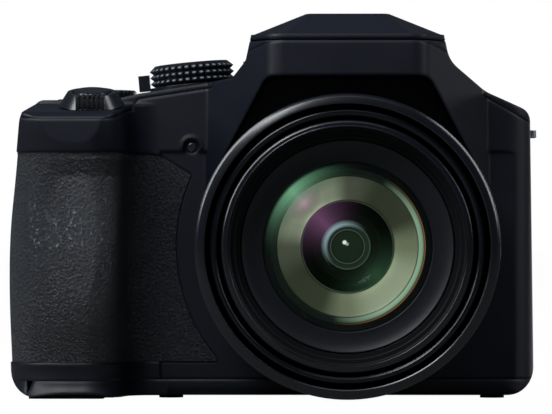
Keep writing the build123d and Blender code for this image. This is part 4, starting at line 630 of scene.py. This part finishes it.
# Windows: the hard-coated screen window and the finder's lens, the dark panels behind them,
# the tinted lamp window in front, and the frosted plastic before the flash tube.
screen_glass = Finish("screen_glass", (0.012, 0.013, 0.016), 0.05, Coat_Weight=0.6)
screen_glass.put("Base Color", screen_glass.blend(screen_glass.noise(30.0), (0.010, 0.011, 0.014),
                                                  (0.014, 0.015, 0.019)))
screen_glass.dress("lcd_window", "eyepiece_lens")
panel = Finish("display_panel", (0.02, 0.022, 0.026), 0.3)
panel.put("Base Color", panel.blend(panel.noise(40.0), (0.018, 0.020, 0.024),
                                    (0.026, 0.028, 0.034)))
panel.dress("lcd_module", "evf_display")
lamp = Finish("lamp_tint", (0.02, 0.015, 0.02), 0.12)
lamp.put("Base Color", lamp.blend(lamp.noise(600.0), (0.016, 0.012, 0.016),
                                  (0.024, 0.018, 0.024)))
lamp.dress("af_lamp")
diffuser = Finish("flash_diffuser", (0.7, 0.7, 0.68), 0.2)
diffuser.put("Base Color", diffuser.blend(diffuser.noise(300.0), (0.66, 0.66, 0.64),
                                          (0.74, 0.74, 0.72)))
diffuser.dress("flash_window", "flash_tube")

# Repeated small parts: two node trees set out bars in a ring or in a row, and the result is
# kept as a plain mesh. Dial ticks, dioptre ribs, screw crosses, contacts and chips use them.
def bar_tree(name, in_ring):
    """A node tree that sets out bars, all pointing outward in a ring or side by side in a row."""
    tree = bpy.data.node_groups.new(name, "GeometryNodeTree")
    for socket_name, kind in (("Count", "NodeSocketInt"), ("Spread", "NodeSocketFloat"),
                              ("Bar Size", "NodeSocketVector"), ("Finish", "NodeSocketMaterial")):
        tree.interface.new_socket(socket_name, in_out="INPUT", socket_type=kind)
    tree.interface.new_socket("Bars", in_out="OUTPUT", socket_type="NodeSocketGeometry")

    def made(kind, **settings):
        node = tree.nodes.new(kind)
        for setting, value in settings.items():
            setattr(node, setting, value)
        return node

    given = made("NodeGroupInput").outputs
    bar = made("GeometryNodeMeshCube")
    tree.links.new(given["Bar Size"], bar.inputs["Size"])
    spots = made("GeometryNodeMeshCircle") if in_ring else made("GeometryNodeMeshLine")
    tree.links.new(given["Count"], spots.inputs["Vertices" if in_ring else "Count"])
    if in_ring:
        tree.links.new(given["Spread"], spots.inputs["Radius"])
    else:
        step = made("ShaderNodeCombineXYZ")
        tree.links.new(given["Spread"], step.inputs["X"])
        tree.links.new(step.outputs[0], spots.inputs["Offset"])
    copies = made("GeometryNodeInstanceOnPoints")
    tree.links.new(spots.outputs["Mesh"], copies.inputs["Points"])
    tree.links.new(bar.outputs["Mesh"], copies.inputs["Instance"])
    if in_ring:
        aligned = made("FunctionNodeAlignRotationToVector", axis="X")
        place = made("GeometryNodeInputPosition")
        tree.links.new(place.outputs[0], aligned.inputs["Vector"])
        tree.links.new(aligned.outputs[0], copies.inputs["Rotation"])
    realized = made("GeometryNodeRealizeInstances")
    tree.links.new(copies.outputs[0], realized.inputs[0])
    coloured = made("GeometryNodeSetMaterial")
    tree.links.new(realized.outputs[0], coloured.inputs["Geometry"])
    tree.links.new(given["Finish"], coloured.inputs["Material"])
    tree.links.new(coloured.outputs[0], made("NodeGroupOutput").inputs[0])
    return tree


RING_TREE = bar_tree("ring_of_bars", True)
ROW_TREE = bar_tree("row_of_bars", False)


def settled(name, body, maker, place):
    """Evaluates a maker object once, and keeps its shape as a plain piece in its place."""
    bpy.context.collection.objects.link(maker)
    ready = maker.evaluated_get(bpy.context.evaluated_depsgraph_get())
    mesh = bpy.data.meshes.new_from_object(ready)
    bpy.data.objects.remove(maker)
    mesh.name = name
    mesh.transform(place)
    piece = bpy.data.objects.new(name, mesh)
    bpy.context.collection.objects.link(piece)
    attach(piece, body)
    return piece


def bars(name, body, finish, count, spread, size, place, tree=ROW_TREE):
    """A row or ring of bars. Sizes are in mm, and place turns and moves the whole group."""
    maker = bpy.data.objects.new(name, bpy.data.meshes.new(name))
    nodes_modifier = maker.modifiers.new("bars", "NODES")
    nodes_modifier.node_group = tree
    wanted = {"Count": count, "Spread": spread * MM, "Bar Size": [side * MM for side in size],
              "Finish": finish.material}
    for socket in tree.interface.items_tree:
        if socket.name in wanted:
            nodes_modifier[socket.identifier] = wanted[socket.name]
    return settled(name, body, maker, place)


PRINT_THICKNESS = 0.01


def printed(name, body, text, height, place):
    """A plain printed figure or sign, a hair thick, on a face of a control."""
    curve = bpy.data.curves.new(name, "FONT")
    curve.body = text
    curve.size = height * MM
    curve.align_x = "CENTER"
    curve.align_y = "CENTER"
    curve.extrude = PRINT_THICKNESS * MM
    curve.materials.append(mark_paint.material)
    return settled(name, body, bpy.data.objects.new(name, curve), place)


def face(x, y, z, right=(1, 0, 0), up=(0, 1, 0)):
    """The place of a flat mark: its middle in mm, and which way its right and top point."""
    right, up = Vector(right).normalized(), Vector(up).normalized()
    turn = Matrix((right, up, right.cross(up))).transposed().to_4x4()
    return Matrix.Translation((x * MM, y * MM, z * MM)) @ turn


# Mode dial top: plain numbers and ticks are printed in a ring, on a face that leans with the
# dial. A ring of short fine ribs stands round its middle.
DIAL_TOP = 5.57
TICK_COUNT, TICK_RING, TICK_SIZE = 24, 8.4, (0.7, 0.22, 0.03)
NUMBER_COUNT, NUMBER_RING, NUMBER_HEIGHT = 8, 6.3, 2.2
HUB_COUNT, HUB_RING, HUB_SIZE = 40, 2.6, (0.5, 0.12, 0.05)
mark_paint = Finish("mark_paint", (0.55, 0.57, 0.58), 0.5)
mark_paint.put("Base Color", mark_paint.blend(mark_paint.noise(900.0), (0.50, 0.52, 0.53),
                                              (0.60, 0.62, 0.63)))
dial_right = Vector((cos(DIAL_TILT), 0, sin(DIAL_TILT)))
dial_out = Vector((-sin(DIAL_TILT), 0, cos(DIAL_TILT)))
dial_middle = DIAL_PLACE + dial_out * DIAL_TOP
bars("dial_ticks", "mode_dial", mark_paint, TICK_COUNT, TICK_RING, TICK_SIZE,
     face(*dial_middle, dial_right), RING_TREE)
for number in range(NUMBER_COUNT):
    around = tau * number / NUMBER_COUNT
    along = dial_right * cos(around) + Vector((0, 1, 0)) * sin(around)
    side = dial_out.cross(along)
    printed("dial_number_%d" % (number + 1), "mode_dial", str(number + 1), NUMBER_HEIGHT,
            face(*(dial_middle + along * NUMBER_RING), -side, along))
bars("dial_hub", "mode_dial", control, HUB_COUNT, HUB_RING, HUB_SIZE,
     face(*dial_middle, dial_right), RING_TREE)

# Rear controls: plain signs are printed on the buttons, and four points round the pad. The
# middle button of the pad stands higher than the rest.
BUTTON_FACE, MIDDLE_FACE, PAD_FACE = 20.71, 21.41, 20.72
PAD_MIDDLE_X, PAD_MIDDLE_Z = -53.0, 30.0
PAD_COUNT, PAD_RING, PAD_POINT = 4, 7.4, (0.9, 0.3, 0.03)
REAR_RIGHT, REAR_UP = (-1, 0, 0), (0, 0, 1)
REAR_SIGNS = (("play_mark", "playback_button", ">", 2.6, -40.5, 46.5, BUTTON_FACE),
              ("delete_mark", "delete_button", "x", 2.6, -65.0, 12.8, BUTTON_FACE),
              ("display_mark", "display_button", "i", 2.6, -41.0, 12.5, BUTTON_FACE),
              ("lock_mark", "lock_button", "=", 2.6, -42.0, 64.0, BUTTON_FACE),
              ("menu_mark", "menu_button", "+", 3.0, PAD_MIDDLE_X, 30.2, MIDDLE_FACE))
bars("pad_points", "cursor_pad", mark_paint, PAD_COUNT, PAD_RING, PAD_POINT,
     face(PAD_MIDDLE_X, PAD_FACE, PAD_MIDDLE_Z, REAR_RIGHT, REAR_UP), RING_TREE)
for mark_name, mark_body, text, height, x, z, y in REAR_SIGNS:
    printed(mark_name, mark_body, text, height, face(x, y, z, REAR_RIGHT, REAR_UP))

# Dioptre dial: a small moulded wheel beside the eyecup, with fine ribs round its rim for the
# fingertip.
DIOPTER_PLACE = (21.1, 18.5, 71.5)
DIOPTER_COUNT, DIOPTER_RING, DIOPTER_RIB = 28, 3.52, (0.14, 0.3, 2.6)
bars("diopter_ribs", "diopter_dial", control, DIOPTER_COUNT, DIOPTER_RING,
     DIOPTER_RIB, face(*DIOPTER_PLACE, (0, 1, 0), (0, 0, 1)), RING_TREE)

# Base screws: four plated screws hold the base. A dark cross of painted shade lies on the head of
# each, as if it were sunk in.
SCREW_PLACES = ((-30.0, 13.0), (-30.0, -16.0), (24.0, 13.0), (24.0, -16.0))
SCREW_FACE = 0.24
CROSS_COUNT, CROSS_RING, CROSS_ARM = 4, 0.42, (0.85, 0.34, 0.02)
cross_painted_shade = Finish("cross_painted_shade", (0.01, 0.01, 0.01), 0.6)
cross_painted_shade.put("Roughness", cross_painted_shade.noise(800.0) * 0.2 + 0.5)
for screw_index, (x, y) in enumerate(SCREW_PLACES):
    # Painted shade: a dark cross that stands for the sunk recess.
    bars("screw_cross_%d" % screw_index, "camera_body", cross_painted_shade, CROSS_COUNT,
         CROSS_RING, CROSS_ARM, face(x, y, SCREW_FACE), RING_TREE)

# Flash window: upright ribs are moulded on the frosted plastic to spread its light. At rest
# the window lies in the lid and faces down and forward.
WINDOW_LEAN = radians(55)
RIB_COUNT, RIB_PITCH, RIB_SIZE = 26, 1.0, (0.35, 5.2, 0.06)
RIB_START = (-12.5, -39.82, 84.62)
window_out = Vector((0, -cos(WINDOW_LEAN), -sin(WINDOW_LEAN)))
bars("flash_ribs", "flash_head", diffuser, RIB_COUNT, RIB_PITCH, RIB_SIZE,
     face(*RIB_START, (1, 0, 0), Vector((1, 0, 0)).cross(-window_out)))

# Circuit boards: green lacquered laminate with a faint copper pattern under it. Three rows of
# chips are soldered on the main board.
CHIP_FACE = 11.2
CHIP_ROWS = ((-22.0, 44.0, 4, 11.0, (7.0, 5.0, 0.5)), (-26.0, 22.0, 8, 6.0, (2.4, 1.6, 0.4)),
             (-18.0, 15.0, 3, 15.0, (9.0, 6.0, 0.5)))
board = Finish("board_lacquer", (0.02, 0.10, 0.05), 0.35)
tracks = board.node("TexWave", {"wave_type": "BANDS", "bands_direction": "DIAGONAL"},
                    {"Vector": board.place(), "Scale": 260.0, "Distortion": 6.0})
board.put("Base Color", board.blend(tracks.band(0.6, 0.75), (0.015, 0.075, 0.038),
                                    (0.05, 0.14, 0.07)))
board.relief(tracks, depth=0.02 * MM, strength=0.3)
board.dress("main_board", "sensor_board")
chip = Finish("chip_black", (0.015, 0.015, 0.016), 0.42)
chip.put("Roughness", chip.noise(1500.0) * 0.2 + 0.34)
for row_index, (x, z, count, spread, chip_size) in enumerate(CHIP_ROWS):
    bars("board_chips_%d" % row_index, "camera_body", chip, count, spread, chip_size,
         face(x, CHIP_FACE, z, (1, 0, 0), (0, 0, -1)))

# Image sensor: a glass-topped chip. Its face shades from dark green at the lower right to violet
# at the upper left, as a painted reflection.
sensor = Finish("sensor_face", (0.03, 0.02, 0.06), 0.12)
sensor_lean = sensor.round_axis(UPPER_LEFT)[1]
# Painted reflection: dark green at the lower right to violet at the upper left.
sensor.put("Base Color", sensor.blend(sensor_lean.band(-1.0, 1.0), (0.02, 0.06, 0.05),
                                      (0.09, 0.03, 0.12)))
sensor.dress("image_sensor")

# Cells and cam ring: the moving lens cells are black moulded plastic, with coated lenses held in
# them; the lenses carry a painted reflection, violet at the upper left and green at the lower
# right.
# The cam ring, the battery case and the sockets are grey.
cell_black = Finish("cell_plastic", (0.012, 0.012, 0.013), 0.5)
cell_black.put("Roughness", cell_black.noise(500.0) * 0.15 + 0.42)
cell_black.relief(cell_black.noise(2500.0), depth=0.02 * MM, strength=0.4, edge=0.2 * MM)
cell_black.dress("variator_cell", "focus_cell")
cam_grey = Finish("cam_ring_grey", (0.10, 0.10, 0.105), 0.38)
cam_grey.put("Roughness", cam_grey.noise(350.0) * 0.12 + 0.32)
cam_grey.relief(cam_grey.noise(1800.0), depth=0.02 * MM, strength=0.4, edge=0.2 * MM)
cam_grey.dress("cam_ring", "battery_case", "port_sockets")
inner_lens = Finish("inner_lens_glass", (0.03, 0.05, 0.045), 0.04, Coat_Weight=0.5)
inner_lean = inner_lens.round_axis(UPPER_LEFT)[1]
# Painted reflection: violet at the upper left, green at the lower right.
inner_lens.put("Base Color", inner_lens.blend(inner_lean.band(-1.0, 1.0), (0.02, 0.06, 0.04),
                                              (0.07, 0.03, 0.08)))
inner_lens.dress("variator_lens", "focus_lens")

# Battery: a grey wrapped block with no label, which slides in from below. It has three gilt
# contacts on its top.
BATTERY_COUNT, BATTERY_PITCH, BATTERY_CONTACT = 3, 3.6, (2.4, 5.0, 0.1)
BATTERY_START = (-73.8, -26.0, 50.32)
battery_grey = Finish("battery_grey", (0.09, 0.09, 0.095), 0.5)
battery_grey.put("Roughness", battery_grey.noise(700.0) * 0.15 + 0.42)
battery_grey.relief(battery_grey.noise(2200.0), depth=0.02 * MM, strength=0.4, edge=0.2 * MM)
battery_grey.dress("battery")
gold = Finish("contact_gold", (0.78, 0.56, 0.24), 0.25, Metallic=1.0)
gold.put("Roughness", gold.noise(1200.0) * 0.15 + 0.2)
bars("battery_contacts", "camera_body", gold, BATTERY_COUNT, BATTERY_PITCH,
     BATTERY_CONTACT, face(*BATTERY_START))

# Memory card: a blank plastic card beside the battery, with a row of gilt contacts near its
# end.
CARD_COUNT, CARD_PITCH, CARD_CONTACT = 8, 2.3, (1.3, 3.4, 0.06)
CARD_START = (-59.48, -22.0, 33.4)
card_blue = Finish("card_plastic", (0.02, 0.03, 0.06), 0.42)
card_blue.put("Roughness", card_blue.noise(900.0) * 0.15 + 0.36)
card_blue.dress("memory_card")
bars("card_contacts", "camera_body", gold, CARD_COUNT, CARD_PITCH, CARD_CONTACT,
     face(*CARD_START, (0, 1, 0), (0, 0, 1)))

# Flash capacitor: an aluminium can in a dark shrink sleeve, which stores the charge for the
# flash tube.
sleeve = Finish("capacitor_sleeve", (0.012, 0.013, 0.02), 0.3)
sleeve.put("Roughness", sleeve.noise(500.0) * 0.12 + 0.26)
sleeve.dress("flash_capacitor")
